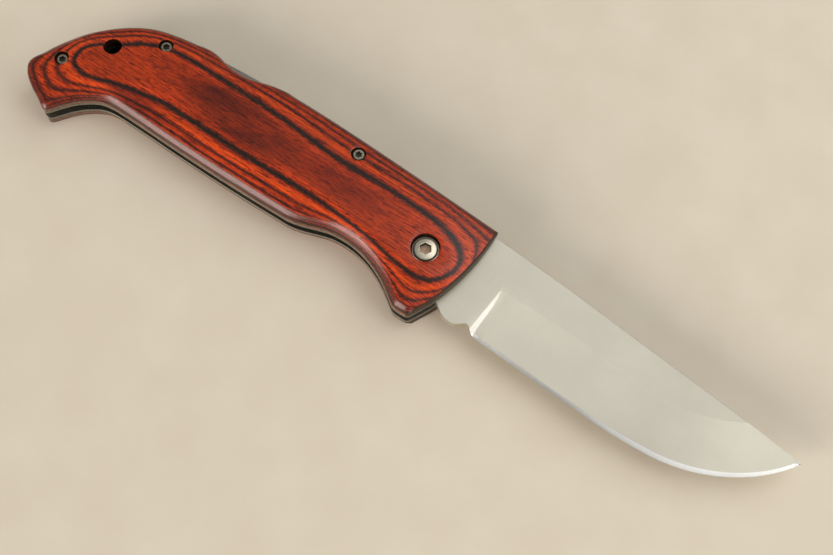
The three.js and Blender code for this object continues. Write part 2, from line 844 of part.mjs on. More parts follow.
// A small six-lobe screw, its head's seat on z = 0
function makeScrew() {
  const head = turned([
    at(0, 0),
    at(screwHeadRadius, 0),
    at(screwHeadRadius, screwHeadHeight - screwHeadChamfer),
    at(screwHeadRadius - screwHeadChamfer, screwHeadHeight),
    at(0, screwHeadHeight),
  ], smallSides);
  const shank = cylinder(pivot, screwShankRadius, -screwShankLength, weldOverlap, smallSides);
  const lobes = circle(pivot, 1, lobeSides).map((p) => {
    return p.multiplyScalar(lobeMiddleRadius + lobeHeight * Math.cos(6 * Math.atan2(p.y, p.x)));
  });
  const socket = prism(lobes, screwHeadHeight - lobeDepth, screwHeadHeight + toolOverrun);
  return cut(head.add(shank), socket);
}

const wood = new THREE.MeshStandardMaterial({ color: 0xb4512f, roughness: 0.35, metalness: 0 });
const bladeSteel = new THREE.MeshStandardMaterial({ color: 0xc9c6bb, roughness: 0.35, metalness: 0.9 });
const linerSteel = new THREE.MeshStandardMaterial({ color: 0xb8b8b2, roughness: 0.4, metalness: 0.9 });
const brightSteel = new THREE.MeshStandardMaterial({ color: 0xd2d0c8, roughness: 0.25, metalness: 1 });
const darkSteel = new THREE.MeshStandardMaterial({ color: 0x6b6b68, roughness: 0.5, metalness: 0.8 });
const bronze = new THREE.MeshStandardMaterial({ color: 0xa87a44, roughness: 0.45, metalness: 0.9 });

const knife = new THREE.Group();

function place(name, geometry, material, position, parent = knife) {
  const mesh = new THREE.Mesh(geometry, material);
  mesh.name = name;
  mesh.position.copy(position);
  parent.add(mesh);
}

const level = (z) => new THREE.Vector3(0, 0, z);

const scaleGeometry = toGeometry(makeScale());
place('upper_scale', scaleGeometry, wood, level(upperScaleBottom));
place('lower_scale', mirrored(scaleGeometry), wood, level(scaleThickness));

const linerGeometry = toGeometry(makeLiner());
place('upper_liner', linerGeometry, linerSteel, level(channelTop));
place('lower_liner', linerGeometry, linerSteel, level(scaleThickness));

place('blade', toGeometry(makeBlade()), bladeSteel, level(midHeight));
place('lock_bar', toGeometry(makeLockBar()), linerSteel, level(midHeight));
place('lock_spring', toGeometry(makeSpring()), darkSteel, level(midHeight));
place('back_spacer', toGeometry(makeSpacer()), darkSteel, level(midHeight));

place('pivot_screw', toGeometry(makePivotScrew()), brightSteel, level(pivotHeadSeat));
place('pivot_sleeve', mirrored(toGeometry(makePivotSleeve())), brightSteel, level(handleTop - pivotHeadSeat));
const washerGeometry = toGeometry(makeWasher());
place('upper_pivot_washer', washerGeometry, bronze, level(bladeTop));
place('lower_pivot_washer', washerGeometry, bronze, level(channelBottom));

// Each post with its two screws stands in a group at its own place in the handle
const barrelGeometry = toGeometry(makeBarrel());
const screwGeometry = toGeometry(makeScrew());
const lowerScrewGeometry = mirrored(screwGeometry);
posts.forEach(({ name, centre, recess }) => {
  const post = new THREE.Group();
  post.position.set(centre.x, centre.y, midHeight);
  const seat = handleTop - recess - screwHeadHeight - midHeight;
  place(`${name}_barrel`, barrelGeometry, darkSteel, level(0), post);
  place(`upper_${name}_screw`, screwGeometry, brightSteel, level(seat), post);
  place(`lower_${name}_screw`, lowerScrewGeometry, brightSteel, level(-seat), post);
  knife.add(post);
});

const extent = new THREE.Box3().setFromObject(knife);
const extentCentre = extent.getCenter(new THREE.Vector3());
knife.position.set(-extentCentre.x, -extentCentre.y, 0);

const pocketKnife = new THREE.Group();
pocketKnife.add(knife);

export default pocketKnife;
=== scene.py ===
"""Looks of the folding pocket knife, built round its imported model.

Every piece is drawn about the blade's pivot, in millimetres: x runs to the blade's tip, y to the spine
and z up from the table. A Shell moves its points to the frame, in metres, when it is built.
"""

import json
import math

import bmesh
import bpy
import numpy as np
from mathutils import Matrix, Vector
from mathutils.geometry import delaunay_2d_cdt


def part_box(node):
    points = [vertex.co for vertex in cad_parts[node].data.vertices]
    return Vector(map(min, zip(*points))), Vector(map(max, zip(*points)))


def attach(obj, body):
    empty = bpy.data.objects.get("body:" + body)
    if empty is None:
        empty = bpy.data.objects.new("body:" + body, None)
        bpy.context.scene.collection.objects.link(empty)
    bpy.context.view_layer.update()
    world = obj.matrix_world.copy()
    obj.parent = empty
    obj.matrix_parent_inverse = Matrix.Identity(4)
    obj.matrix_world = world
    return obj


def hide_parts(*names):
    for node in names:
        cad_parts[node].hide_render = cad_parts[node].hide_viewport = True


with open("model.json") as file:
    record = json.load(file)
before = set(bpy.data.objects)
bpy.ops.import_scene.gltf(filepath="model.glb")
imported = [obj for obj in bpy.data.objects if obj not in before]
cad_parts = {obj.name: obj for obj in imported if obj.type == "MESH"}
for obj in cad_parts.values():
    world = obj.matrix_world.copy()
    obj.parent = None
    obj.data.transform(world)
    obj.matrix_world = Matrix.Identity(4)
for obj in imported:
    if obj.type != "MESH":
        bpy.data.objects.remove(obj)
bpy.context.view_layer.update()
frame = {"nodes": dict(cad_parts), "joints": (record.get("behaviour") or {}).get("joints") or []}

MM = 0.001

# Places that the frame gives
PIVOT = np.array(frame["joints"][0]["pos_m"]) / MM * (1, 1, 0)


def levels(node):
    """Lowest and highest z of a CAD node, in mm."""
    low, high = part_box(node)
    return low.z / MM, high.z / MM


def centre_of(node):
    """Middle of a CAD node seen from above, about the pivot."""
    low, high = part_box(node)
    return np.array(((low + high) / 2)[:2]) / MM - PIVOT[:2]


SCALE_BOTTOM, TOP = levels("upper_scale")
MIDDLE = TOP / 2
BLADE_HALF = (levels("blade")[1] - levels("blade")[0]) / 2

# Crown of the scales, as the CAD has it
CROWN_FIELD = [
    (7.9, -4.4), (9.5, -0.6), (9, 2.6), (5.6, 5.7), (0.5, 7.4), (-12, 8.4), (-30, 8.2), (-41, 8.7),
    (-50, 9.5), (-60, 10), (-76, 10.2), (-84, 9.9), (-90, 8.7), (-95, 6.4), (-99.5, 3.1),
    (-105.3, -0.9), (-107.1, -4.2), (-106.5, -7.4), (-103.5, -8.9), (-99.5, -8.6), (-95.9, -7.3),
    (-87.7, -5.3),
    (-79.3, -4.2), (-70, -4.1), (-60, -4.5), (-40, -4.3), (-29, -4.3), (-21.3, -4.8), (-13.3, -5.6),
    (-4.9, -7.2), (2, -7.8), (5.7, -6.7),
]
CROWN_FIELD_DROP = 0.46
CROWN_FLAT_SHARE = 0.375
CROWN_POWER = 1.5

# At the front the crown's rim lies beyond the handle, so its rings run out over the front edge
RIM_OVERHANG = 4
RIM_OVERHANG_FROM = 4
HANDLE_FRONT = 12.7

# Where the crown's rings are rounder than its rim: the butt, by x, and the guard, by x and y
SOFT_BUTT = (-88, -98)
SOFT_GUARD = ((-6, 4), (-4, -9))
RING_SOFTNESS = 4

# Rounded edges of the scales: width and depth on each side, fullness, and the least wall under them
SPINE_ROUNDING = (1.4, 1.7)
BELLY_ROUNDING = (2.2, 1.9)
HOOK_ROUNDING = (1.2, 0.9)
RECESS_ROUNDING = (1.1, 1.1)
FRONT_ROUNDING = (0.5, 0.45)
EDGE_FULLNESS = 1.55
LEAST_WALL = 0.6

# Where a side's rounding takes over: x or y at which it starts, and at which it is complete
BELLY_BELOW = (3, -3)
HOOK_BEHIND = (-92, -96)
HOOK_BELOW = (-8, -12)
RECESS_FROM = (-84, -80)
RECESS_TO = (-52, -56)
RECESS_OVER = (9, 12)

# Front end of the scales: where it lies, and how far the painted shade on its end face reaches in
FRONT_SIDE_FROM = 5
FRONT_SIDE_TOP = 14.802
FRONT_SHADE_REACH = 0.42

# Thumb recess in the spine: its ends, a y below all of it, and points of the spine that it takes away
RECESS_ENDS = (-82, -54)
BELOW_RECESS = 10
SPINE_OVER_RECESS = [(-66, 17), (-76, 16.4)]

# Radii of the scales' bores and counterbores, the cord hole's place, and their rims' width and slope
PIVOT_BORE = 2.56
PIVOT_COUNTERBORE = 3.85
SCREW_BORE = 1.12
SCREW_COUNTERBORE = 2.0
CORD_HOLE = 2.5
CORD_HOLE_PLACE = (-100.5, 1.85)
RIM_CHAMFER = 0.18
CORD_RIM_CHAMFER = 0.22
RIM_SLOPE = 0.5

# Blade: its lines seen from the side, from the tang to the tip
BLADE_REACH = 107.1
BLADE_SPINE = [
    (-3, 15.05), (12, 14.1), (36, 12.4), (60, 10.15), (84, 8), (102.1, 6.25), (107.1, 5.85),
]
BLADE_EDGE = [
    (18.55, -11.45), (30, -11.9), (45, -12.75), (62.1, -13.5), (70.1, -13.35), (76.1, -12.9),
    (81.1, -12), (87.1, -10.15), (93.1, -7.3), (98.1, -4), (102.1, -0.5), (105.1, 2.9), (107.1, 5.6),
]
GRIND_LINE = [
    (19.4, 2.9), (40, 2.5), (57.1, 1.5), (68.1, 0.8), (75.1, 1.2), (80.1, 2.3), (86.1, 4.6),
    (92.1, 7.8),
]
CHOIL = [
    (15.9, -11.45), (16.7, -11.0), (17.4, -10.5), (18.1, -9.95), (18.7, -9.62), (19.2, -9.72),
    (19.8, -10.12), (20.5, -10.68), (21.1, -11.1), (21.8, -11.34), (22.6, -11.46), (24.2, -11.6),
]
TANG_END = 15.6
TANG_BORE = 2.62
RICASSO_DEPTH = 11.55

# Plunge: its place and lean, its slope, which changes between two heights, and its rounded borders
PLUNGE_START = 21.1
PLUNGE_LEAN = 0.08
PLUNGE_SLOPE = (0.9, 0.32)
PLUNGE_HEIGHTS = (-10, 1.5)
PLUNGE_BOTTOM = -10.6
CREST_ROUNDING = 0.2
FOOT_ROUNDING = 0.06

# Edge bevel: its width, most of the ground face that it may take, and half thicknesses at its borders
EDGE_BEVEL = 0.8
TIP_EDGE_BEVEL = 1.3
EDGE_BEVEL_CHANGE = (45, 75)
EDGE_BEVEL_MOST = 0.6
EDGE_BEVEL_HALF = 0.25
EDGE_LAND_HALF = 0.03

# Eased edges of the blade, and how near the spine the ground face takes all of the width
BLADE_CHAMFER = 0.05
BLADE_CHAMFER_REACH = 0.1
BLADE_CHAMFER_MOST = 0.3
SPINE_SIDE = 0.5
SPINE_REACHED = 0.05

# Darker places in the wood: the middle, the reach and the shade of each
DARK_PLACES = [
    ((-58, 2), (20, 8), (126, 116, 116)), ((-70, 5), (22, 5), (170, 160, 160)),
    ((-86, -7.2), (15, 3.4), (150, 130, 150)), ((-30, 3), (22, 6), (195, 180, 180)),
]

# Screws: heads, as radii and heights over the seat, then shanks and sockets
PIVOT_HEAD_HEIGHT = 2.2
PIVOT_HEAD_PROFILE = [
    (3.5, 0), (3.5, 1.2), (3.45, 1.27), (3.3, 1.29), (3.24, 1.38), (3.17, 1.56), (3.07, 1.72),
    (2.92, 1.85), (2.72, 1.94), (2.45, 2.02), (2.15, 2.09), (1.92, 2.15), (1.8, 2.2),
]
SCREW_HEAD_RADIUS = 1.575
SCREW_HEAD_HEIGHT = 1.1
SCREW_CHAMFER = 0.22
SCREW_CHAMFER_MIDDLE = (0.08, 0.09)
PIVOT_SHANK_RADIUS = 1.5
SLEEVE_RADIUS = 2.5
SCREW_SHANK_RADIUS = 1.0
HEX_RADIUS = 1.66
HEX_DEPTH = 1.5
HEX_TURN = 123.4
LOBES = 6
LOBE_RADIUS = 0.83
LOBE_HEIGHT = 0.13
LOBE_DEPTH = 0.75
SOCKET_MOUTH = 1.03
SOCKET_LIP = 0.05

# Eased edges of the flat plates
PLATE_CHAMFER = 0.08
LOCK_BAR_CHAMFER = 0.15

# Sharpest turn that an outline smooths, in degrees: the handle's and tang's, and the other plates'
HANDLE_CORNER = 55
PLATE_CORNER = 30

# Thickness of laminate that the colours of its layers are given for
LAMINATE_DEPTH = 5

# Camera, as fitted to the photograph
LENS = 65.98
SENSOR = 36
CAMERA_PLACE = (69.6, -109.75, 379.3)
CAMERA_TARGET = (-0.24, -3.79, 0)
IMAGE_UP = (-0.550, 0.835, 0)
CLIP_START = 0.01

# Lamps, with the name, place, target, size, radiance and colour of each, and the room's own light
LAMPS = [
    ("overhead", (310, 490, 740), (310, 230, 0), (840, 1080), 1.3, (1, 0.99, 0.96)),
    ("window", (-600, -1600, 680), (-60, 0, 0), (1120, 920), 8.5, (1, 0.92, 0.84)),
    ("right", (850, 80, 470), (0, 0, 0), (900, 500), 1.5, (1, 1, 1)),
]
ROOM_COLOUR = (1, 0.98, 0.95, 1)
ROOM_STRENGTH = 0.28

# Half of the floor's side, in metres
FLOOR_HALF = 3.0

# Fineness of the outlines and surfaces
OUTLINE_STEP = 0.7
SURFACE_STEP = 1.1
FIELD_STEP = 1.5
BLADE_LINE_STEP = 0.8
BLADE_EDGE_STEP = 0.5
CHOIL_STEP = 0.2
HOLE_SIDES = 64
HEAD_SIDES = 96
LOBE_SIDES = 72
GRID_ROW = 0.866

# Rows of points near the scales' edges, and the room left free of others at edges and bores
EDGE_INSETS = (0.03, 0.08, 0.15, 0.25, 0.38, 0.55, 0.75, 1.0, 1.3, 1.65, 2.05, 2.5)
EDGE_MARGIN = 3
BORE_MARGIN = 0.25

# Rows of points on the blade: along it, near its tip, across its ground face, and at the plunge
STATION_STEP = 1.0
FIRST_STATION = 2.2
TIP_STATIONS = np.array((0.65, 0.4, 0.2))
FACE_ROWS = (0.015, 0.15, 0.3, 0.45, 0.6, 0.75, 0.9, 0.985)
PLUNGE_STEP = 0.3
CREST_ROWS = (-0.2, -0.14, -0.07, 0.07, 0.14, 0.2)
FOOT_ROWS = (-0.1, -0.05, 0.05, 0.1)

# Room on the blade, in mm, between its outline, its lines and the points set between them
CUTTING_GAP = 0.2
BACK_GAP = 0.3
FACE_GAP = 0.3
SHOULDER_GAP = 0.2
FLAT_GAPS = (0.4, 0.5)
FLAT_MARGIN = 0.7
FLAT_STEP = 2.4
AROUND_BORE = 3.2
EASED_ROW = 0.12
INSIDE_MARGIN = 0.05

# Which faces get another finish: the z or x of their normals, and how near a wall or floor they lie
SHEARED_FACING = 0.9
BEVEL_FACING = 0.3
PLUNGE_FACING = 0.5
PLUNGE_TILT = 0.14
PLUNGE_MIDDLE = 1
PLUNGE_REACH = 1.2
ON_WALL = 0.02
SAME_LEVEL = 0.01
SOCKET_RIM = 0.07
SOCKET_SPREAD = 1.02

# Sharpest turn between two faces that is shaded smoothly, in degrees
SMOOTH_TURN = 32
BLADE_TURN = 14
HEAD_TURN = 28

# Share of its distance that an inset point keeps
INSET_KEPT = 0.97

# Points of a sheet closer than this are one, in mm, and the same for a whole skin, in metres
MERGE_DISTANCE = 1e-6
WELD_DISTANCE = 2e-7
LEAST_EDGE = 1e-7


def spline(points, step, closed=False):
    """Centripetal Catmull-Rom curve through the points, with a point about every step."""
    points = np.asarray(points, float)
    if closed:
        padded = np.vstack([points[-1], points, points[:2]])
    else:
        padded = np.vstack([2 * points[0] - points[1], points, 2 * points[-1] - points[-2]])
    curve = []
    for p0, p1, p2, p3 in zip(padded, padded[1:], padded[2:], padded[3:]):
        t1 = np.linalg.norm(p1 - p0) ** 0.5
        t2 = t1 + np.linalg.norm(p2 - p1) ** 0.5
        t3 = t2 + np.linalg.norm(p3 - p2) ** 0.5
        count = max(1, round(np.linalg.norm(p2 - p1) / step))
        for t in t1 + (t2 - t1) * np.arange(count) / count:
            a1 = p0 + (p1 - p0) * t / t1
            a2 = p1 + (p2 - p1) * (t - t1) / (t2 - t1)
            a3 = p2 + (p3 - p2) * (t - t2) / (t3 - t2)
            b1 = a1 + (a2 - a1) * t / t2
            b2 = a2 + (a3 - a2) * (t - t1) / (t3 - t1)
            curve.append(b1 + (b2 - b1) * (t - t1) / (t2 - t1))
    if not closed:
        curve.append(points[-1])
    return np.array(curve)


def smooth_loop(loop, step, sharpest=HANDLE_CORNER):
    """A closed curve through the loop's points that keeps corners sharper than an angle in degrees."""
    before = loop - np.roll(loop, 1, axis=0)
    after = np.roll(loop, -1, axis=0) - loop
    turn = np.arctan2(after[:, 1], after[:, 0]) - np.arctan2(before[:, 1], before[:, 0])
    turn = np.abs((turn + math.pi) % (2 * math.pi) - math.pi)
    corners = np.flatnonzero(turn > math.radians(sharpest))
    if len(corners) == 0:
        return spline(loop, step, closed=True)
    loop = np.roll(loop, -corners[0], axis=0)
    ends = [*(corners - corners[0]), len(loop)]
    around = np.vstack([loop, loop[:1]])
    stretches = [spline(around[a:b + 1], step)[:-1] for a, b in zip(ends, ends[1:])]
    return np.vstack(stretches)


def circle(centre, radius, sides=HOLE_SIDES):
    angle = 2 * math.pi * np.arange(sides) / sides
    return np.array(centre) + radius * np.stack([np.cos(angle), np.sin(angle)], axis=1)


def distance_to(line, points):
    """Distance of points to an open line."""
    nearest = np.full(len(points), np.inf)
    for start, end in zip(line, line[1:]):
        run = end - start
        offset = points - start
        along = np.clip(offset @ run / (run @ run), 0, 1)
        nearest = np.minimum(nearest, np.linalg.norm(offset - along[:, None] * run, axis=1))
    return nearest


def signed_distance(loop, points):
    """Distance of points to a closed loop, negative inside it."""
    x, y = points[:, 0], points[:, 1]
    inside = np.zeros(len(points), bool)
    for start, end in zip(loop, np.roll(loop, -1, axis=0)):
        if start[1] != end[1]:
            crossing = start[0] + (y - start[1]) * (end[0] - start[0]) / (end[1] - start[1])
            inside ^= ((start[1] > y) != (end[1] > y)) & (x < crossing)
    nearest = distance_to(np.vstack([loop, loop[:1]]), points)
    return np.where(inside, -nearest, nearest)


def drawn_in(loop, distance):
    """A counterclockwise loop with each point moved inwards."""
    along = np.roll(loop, -1, axis=0) - np.roll(loop, 1, axis=0)
    inward = np.stack([-along[:, 1], along[:, 0]], axis=1)
    return loop + distance * inward / np.linalg.norm(inward, axis=1)[:, None]


def inset(loop, distance):
    """The loop drawn inwards, without the points that come closer to it than that."""
    drawn = drawn_in(loop, distance)
    return drawn[signed_distance(loop, drawn) < -INSET_KEPT * distance]


def ring_at(loop, z):
    """A loop at one height, or at a height for each point."""
    return np.column_stack([loop, np.broadcast_to(z, len(loop))])


def level(z):
    """The height function of a flat surface."""
    return lambda points: np.full(len(points), z)


def smoothstep(low, high, value):
    """0 at low and 1 at high, which may be the smaller one."""
    t = np.clip((value - low) / (high - low), 0, 1)
    return t * t * (3 - 2 * t)


def flat_loops(node):
    """Border loops of a CAD plate's upper face, the longest first."""
    mesh = frame["nodes"][node].data
    points = np.array([v.co for v in mesh.vertices]) / MM - PIVOT
    keys, key_of = np.unique(np.round(points, 4), axis=0, return_inverse=True)
    key_of = key_of.ravel()
    top = keys[:, 2].max() - SAME_LEVEL
    edges = set()
    for polygon in mesh.polygons:
        corners = [int(key_of[v]) for v in polygon.vertices]
        if min(keys[c, 2] for c in corners) > top:
            for edge in zip(corners, corners[1:] + corners[:1]):
                if edge[::-1] in edges:
                    edges.remove(edge[::-1])
                else:
                    edges.add(edge)
    following = dict(edges)
    loops = []
    while following:
        start, at = following.popitem()
        loop = [start]
        while at != start:
            loop.append(at)
            at = following.pop(at)
        loops.append(keys[loop][:, :2])
    return sorted(loops, key=lambda loop: -np.ptp(loop[:, 0]))


class Shell:
    """A closed skin, collected from surfaces and walls and then welded into one mesh."""

    def __init__(self):
        self.points = []
        self.faces = []

    def add(self, points, faces):
        first = len(self.points)
        self.points.extend(points)
        self.faces.extend([first + corner for corner in face] for face in faces)

    def surface(self, loops, height, extra=(), lines=(), up=True):
        """A sheet inside the first loop and outside the others, bent to a height for each point."""
        flat = [Vector(p) for loop in loops for p in loop]
        edges = []
        for loop in loops:
            first = len(edges)
            edges += [(first + i, first + (i + 1) % len(loop)) for i in range(len(loop))]
        for line in lines:
            edges += [(len(flat) + i, len(flat) + i + 1) for i in range(len(line) - 1)]
            flat += [Vector(p) for p in line]
        flat += [Vector(p) for p in extra]
        flat, _, faces, *_ = delaunay_2d_cdt(flat, edges, [], 0, MERGE_DISTANCE)
        flat, faces = np.array(flat), np.array(faces)
        middles = flat[faces].mean(axis=1)
        kept = signed_distance(loops[0], middles) < 0
        for hole in loops[1:]:
            kept &= signed_distance(hole, middles) > 0
        faces = faces[kept] if up else faces[kept][:, ::-1]
        self.add(np.column_stack([flat, height(flat)]), faces.tolist())

    def wall(self, loop, *heights):
        """Bands between heights along a loop that runs counterclockwise round the solid."""
        self.rings([ring_at(loop, height) for height in heights])

    def rings(self, rings):
        """Bands between rings of equally many points, from the lowest to the highest."""
        count = len(rings[0])
        faces = []
        for ring in range(len(rings) - 1):
            for side in range(count):
                a = ring * count + side
                b = ring * count + (side + 1) % count
                faces.append((a, b, b + count, a + count))
        self.add(np.vstack(rings), faces)

    def build(self, name, material, body, nodes, flipped=False, sharp=SMOOTH_TURN):
        """Welds the skin, puts it in the frame and hides the CAD nodes that it stands for. Flipped is
        upside down.
        """
        points = np.array(self.points)
        if flipped:
            points = points * (1, 1, -1) + (0, 0, TOP)
        mesh = bpy.data.meshes.new(name)
        mesh.from_pydata((points + PIVOT) * MM, [], self.faces)
        skin = bmesh.new()
        skin.from_mesh(mesh)
        bmesh.ops.remove_doubles(skin, verts=skin.verts, dist=WELD_DISTANCE)
        bmesh.ops.dissolve_degenerate(skin, edges=skin.edges, dist=LEAST_EDGE)
        bmesh.ops.recalc_face_normals(skin, faces=skin.faces)
        skin.to_mesh(mesh)
        skin.free()
        mesh.shade_smooth()
        mesh.set_sharp_from_angle(angle=math.radians(sharp))
        mesh.materials.append(material)
        piece = bpy.data.objects.new(name, mesh)
        bpy.context.scene.collection.objects.link(piece)
        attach(piece, body)
        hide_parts(*nodes)
        return piece


def paint(piece, material, chosen):
    """Gives a material to the faces chosen by their middles, about the pivot, and their normals."""
    mesh = piece.data
    mesh.materials.append(material)
    middles = np.array([polygon.center for polygon in mesh.polygons]) / MM - PIVOT
    normals = np.array([polygon.normal for polygon in mesh.polygons])
    for index in np.flatnonzero(chosen(middles, normals)):
        mesh.polygons[int(index)].material_index = len(mesh.materials) - 1


# Materials


class Nodes:
    """A material's node tree, with short calls for its nodes and links."""

    def __init__(self, name):
        self.material = bpy.data.materials.new(name)
        self.material.use_nodes = True
        self.tree = self.material.node_tree
        self.shader = self.tree.nodes["Principled BSDF"]

    def node(self, kind, **settings):
        made = self.tree.nodes.new("ShaderNode" + kind)
        for key, value in settings.items():
            setattr(made, key, value)
        return made

    def link(self, source, target):
        self.tree.links.new(source, target)

    def set(self, target, value):
        if isinstance(value, bpy.types.NodeSocket):
            self.link(value, target)
        else:
            target.default_value = value

    def math(self, operation, *values):
        made = self.node("Math", operation=operation)
        for socket, value in zip(made.inputs, values):
            self.set(socket, value)
        return made.outputs[0]

    def remap(self, value, low, high, new_low=0.0, new_high=1.0):
        made = self.node("MapRange")
        self.set(made.inputs["Value"], value)
        made.inputs["From Min"].default_value = low
        made.inputs["From Max"].default_value = high
        made.inputs["To Min"].default_value = new_low
        made.inputs["To Max"].default_value = new_high
        return made.outputs["Result"]

    def place(self, stretch=(1, 1, 1), turn=0):
        """The point's place in the frame in mm, turned about z and multiplied along each axis."""
        coordinates = self.node("TexCoord").outputs["Object"]
        mapping = self.node("Mapping")
        self.link(coordinates, mapping.inputs["Vector"])
        mapping.inputs["Rotation"].default_value = (0, 0, math.radians(turn))
        mapping.inputs["Scale"].default_value = tuple(s / MM for s in stretch)
        return mapping.outputs["Vector"]

    def spot(self, centre, reach):
        """1 near a place, in mm about the pivot, and 0 outside an ellipse round it."""
        mapping = self.node("Mapping")
        self.link(self.node("TexCoord").outputs["Object"], mapping.inputs["Vector"])
        from_origin = [(c + p) / r for c, p, r in zip(centre, PIVOT, reach)]
        mapping.inputs["Scale"].default_value = (1 / MM / reach[0], 1 / MM / reach[1], 0)
        mapping.inputs["Location"].default_value = (-from_origin[0], -from_origin[1], 0)
        length = self.node("VectorMath", operation="LENGTH")
        self.link(mapping.outputs["Vector"], length.inputs[0])
        return self.remap(length.outputs["Value"], 1, 0.3)

    def noise(self, stretch, detail=2.0, roughness=0.5, turn=0):
        """Noise from 0 to 1 whose spots are about 1/stretch mm along each axis."""
        made = self.node("TexNoise")
        self.link(self.place(stretch, turn), made.inputs["Vector"])
        made.inputs["Scale"].default_value = 1
        made.inputs["Detail"].default_value = detail
        made.inputs["Roughness"].default_value = roughness
        return made.outputs["Fac"]

    def mix(self, share, first, second, blend="MIX"):
        made = self.node("Mix", data_type="RGBA", blend_type=blend)
        self.set(made.inputs[0], share)
        self.set(made.inputs[6], first)
        self.set(made.inputs[7], second)
        return made.outputs[2]

    def ramp(self, value, stops):
        made = self.node("ValToRGB")
        self.link(value, made.inputs["Fac"])
        elements = made.color_ramp.elements
        while len(elements) < len(stops):
            elements.new(1)
        for element, (position, colour) in zip(elements, stops):
            element.position = position
            element.color = colour
        return made.outputs["Color"]

    def bump(self, height, distance, strength=1.0):
        made = self.node("Bump")
        made.inputs["Strength"].default_value = strength
        made.inputs["Distance"].default_value = distance * MM
        self.link(height, made.inputs["Height"])
        self.link(made.outputs["Normal"], self.shader.inputs["Normal"])

    def finish(self, **values):
        for key, value in values.items():
            self.set(self.shader.inputs[key.replace("_", " ")], value)
        return self.material


def srgb(red, green, blue):
    """A colour as it shows on a screen, from 0 to 255, as the linear colour that a shader takes."""
    shown = [c / 255 for c in (red, green, blue)]
    return (*[c / 12.92 if c <= 0.04045 else ((c + 0.055) / 1.055) ** 2.4 for c in shown], 1)


def wood():
    """Dyed wood laminate: layers that lie level in the scale, so its crown cuts them into rings."""
    nodes = Nodes("scale_laminate")
    brown = srgb(184, 58, 8)
    orange = srgb(212, 66, 8)
    bright = srgb(236, 82, 8)
    black = srgb(40, 24, 14)
    red = srgb(134, 42, 14)
    ember = srgb(150, 46, 16)
    umber = srgb(84, 36, 22)
    pale_brown = srgb(128, 84, 60)
    # Depth of each layer below the top of the crown in mm, with its colour. The dark layers from 2.28
    # mm down show on the rounded rims, and are partly painted shade for the spine's rim.
    layers = [
        (0.00, brown), (0.08, orange), (0.17, orange), (0.27, red), (0.36, black), (0.52, black),
        (0.62, red), (0.78, orange), (1.00, bright), (1.14, orange), (1.21, red), (1.27, black),
        (1.33, red), (1.45, orange), (1.56, orange), (1.64, red), (1.70, black), (1.76, red),
        (1.88, orange), (2.00, red), (2.07, black), (2.13, red), (2.28, ember), (2.42, black),
        (2.50, umber), (2.75, ember), (3.00, umber), (3.36, black), (3.50, umber),
        (3.90, pale_brown), (4.60, pale_brown), (5.00, umber),
    ]
    height = nodes.node("SeparateXYZ")
    nodes.link(nodes.place(), height.inputs[0])
    from_middle = nodes.math("ABSOLUTE", nodes.math("SUBTRACT", height.outputs["Z"], MIDDLE))
    depth = nodes.math("SUBTRACT", MIDDLE, from_middle)
    sway = nodes.remap(nodes.noise((0.05, 0.12, 0.05), 2), 0, 1, -0.09, 0.09)
    fray = nodes.remap(nodes.noise((0.9, 3, 3), 2, 0.6, turn=2), 0.3, 0.7, -0.05, 0.05)
    fray = nodes.math("MULTIPLY", fray, nodes.remap(depth, 0.6, 1.2, 1.6, 1))
    layer = nodes.math("ADD", nodes.math("ADD", depth, sway), fray)
    stops = [(position / LAMINATE_DEPTH, colour) for position, colour in layers]
    colour = nodes.ramp(nodes.remap(layer, 0, LAMINATE_DEPTH), stops)
    # Darker heart of the field, and the fine grain along the handle
    clouds = nodes.remap(nodes.noise((0.05, 0.16, 0.01), 3), 0.36, 0.62, 0.5, 1)
    for place, reach, shade in DARK_PLACES:
        share = nodes.math("MULTIPLY", nodes.spot(place, reach), clouds)
        colour = nodes.mix(share, colour, nodes.mix(1.0, colour, srgb(*shade), "MULTIPLY"))
    grain = nodes.noise((0.12, 2.6, 1), 4, 0.65, turn=2)
    streak = nodes.ramp(grain, [(0.34, srgb(120, 100, 95)), (0.56, srgb(255, 255, 255))])
    colour = nodes.mix(0.85, colour, streak, "MULTIPLY")
    pores = nodes.noise((0.4, 3.4, 2), 2, 0.6, turn=2)
    pore = nodes.ramp(pores, [(0.36, srgb(105, 85, 80)), (0.46, srgb(255, 255, 255))])
    colour = nodes.mix(0.85, colour, pore, "MULTIPLY")
    nodes.link(colour, nodes.shader.inputs["Base Color"])
    roughness = nodes.remap(nodes.noise((0.3, 1.5, 1), 2), 0, 1, 0.28, 0.42)
    nodes.link(roughness, nodes.shader.inputs["Roughness"])
    nodes.bump(grain, 0.02, 0.5)
    return nodes.finish(Coat_Weight=0.9, Coat_Roughness=0.3, Coat_IOR=1.5, Specular_IOR_Level=0.05)


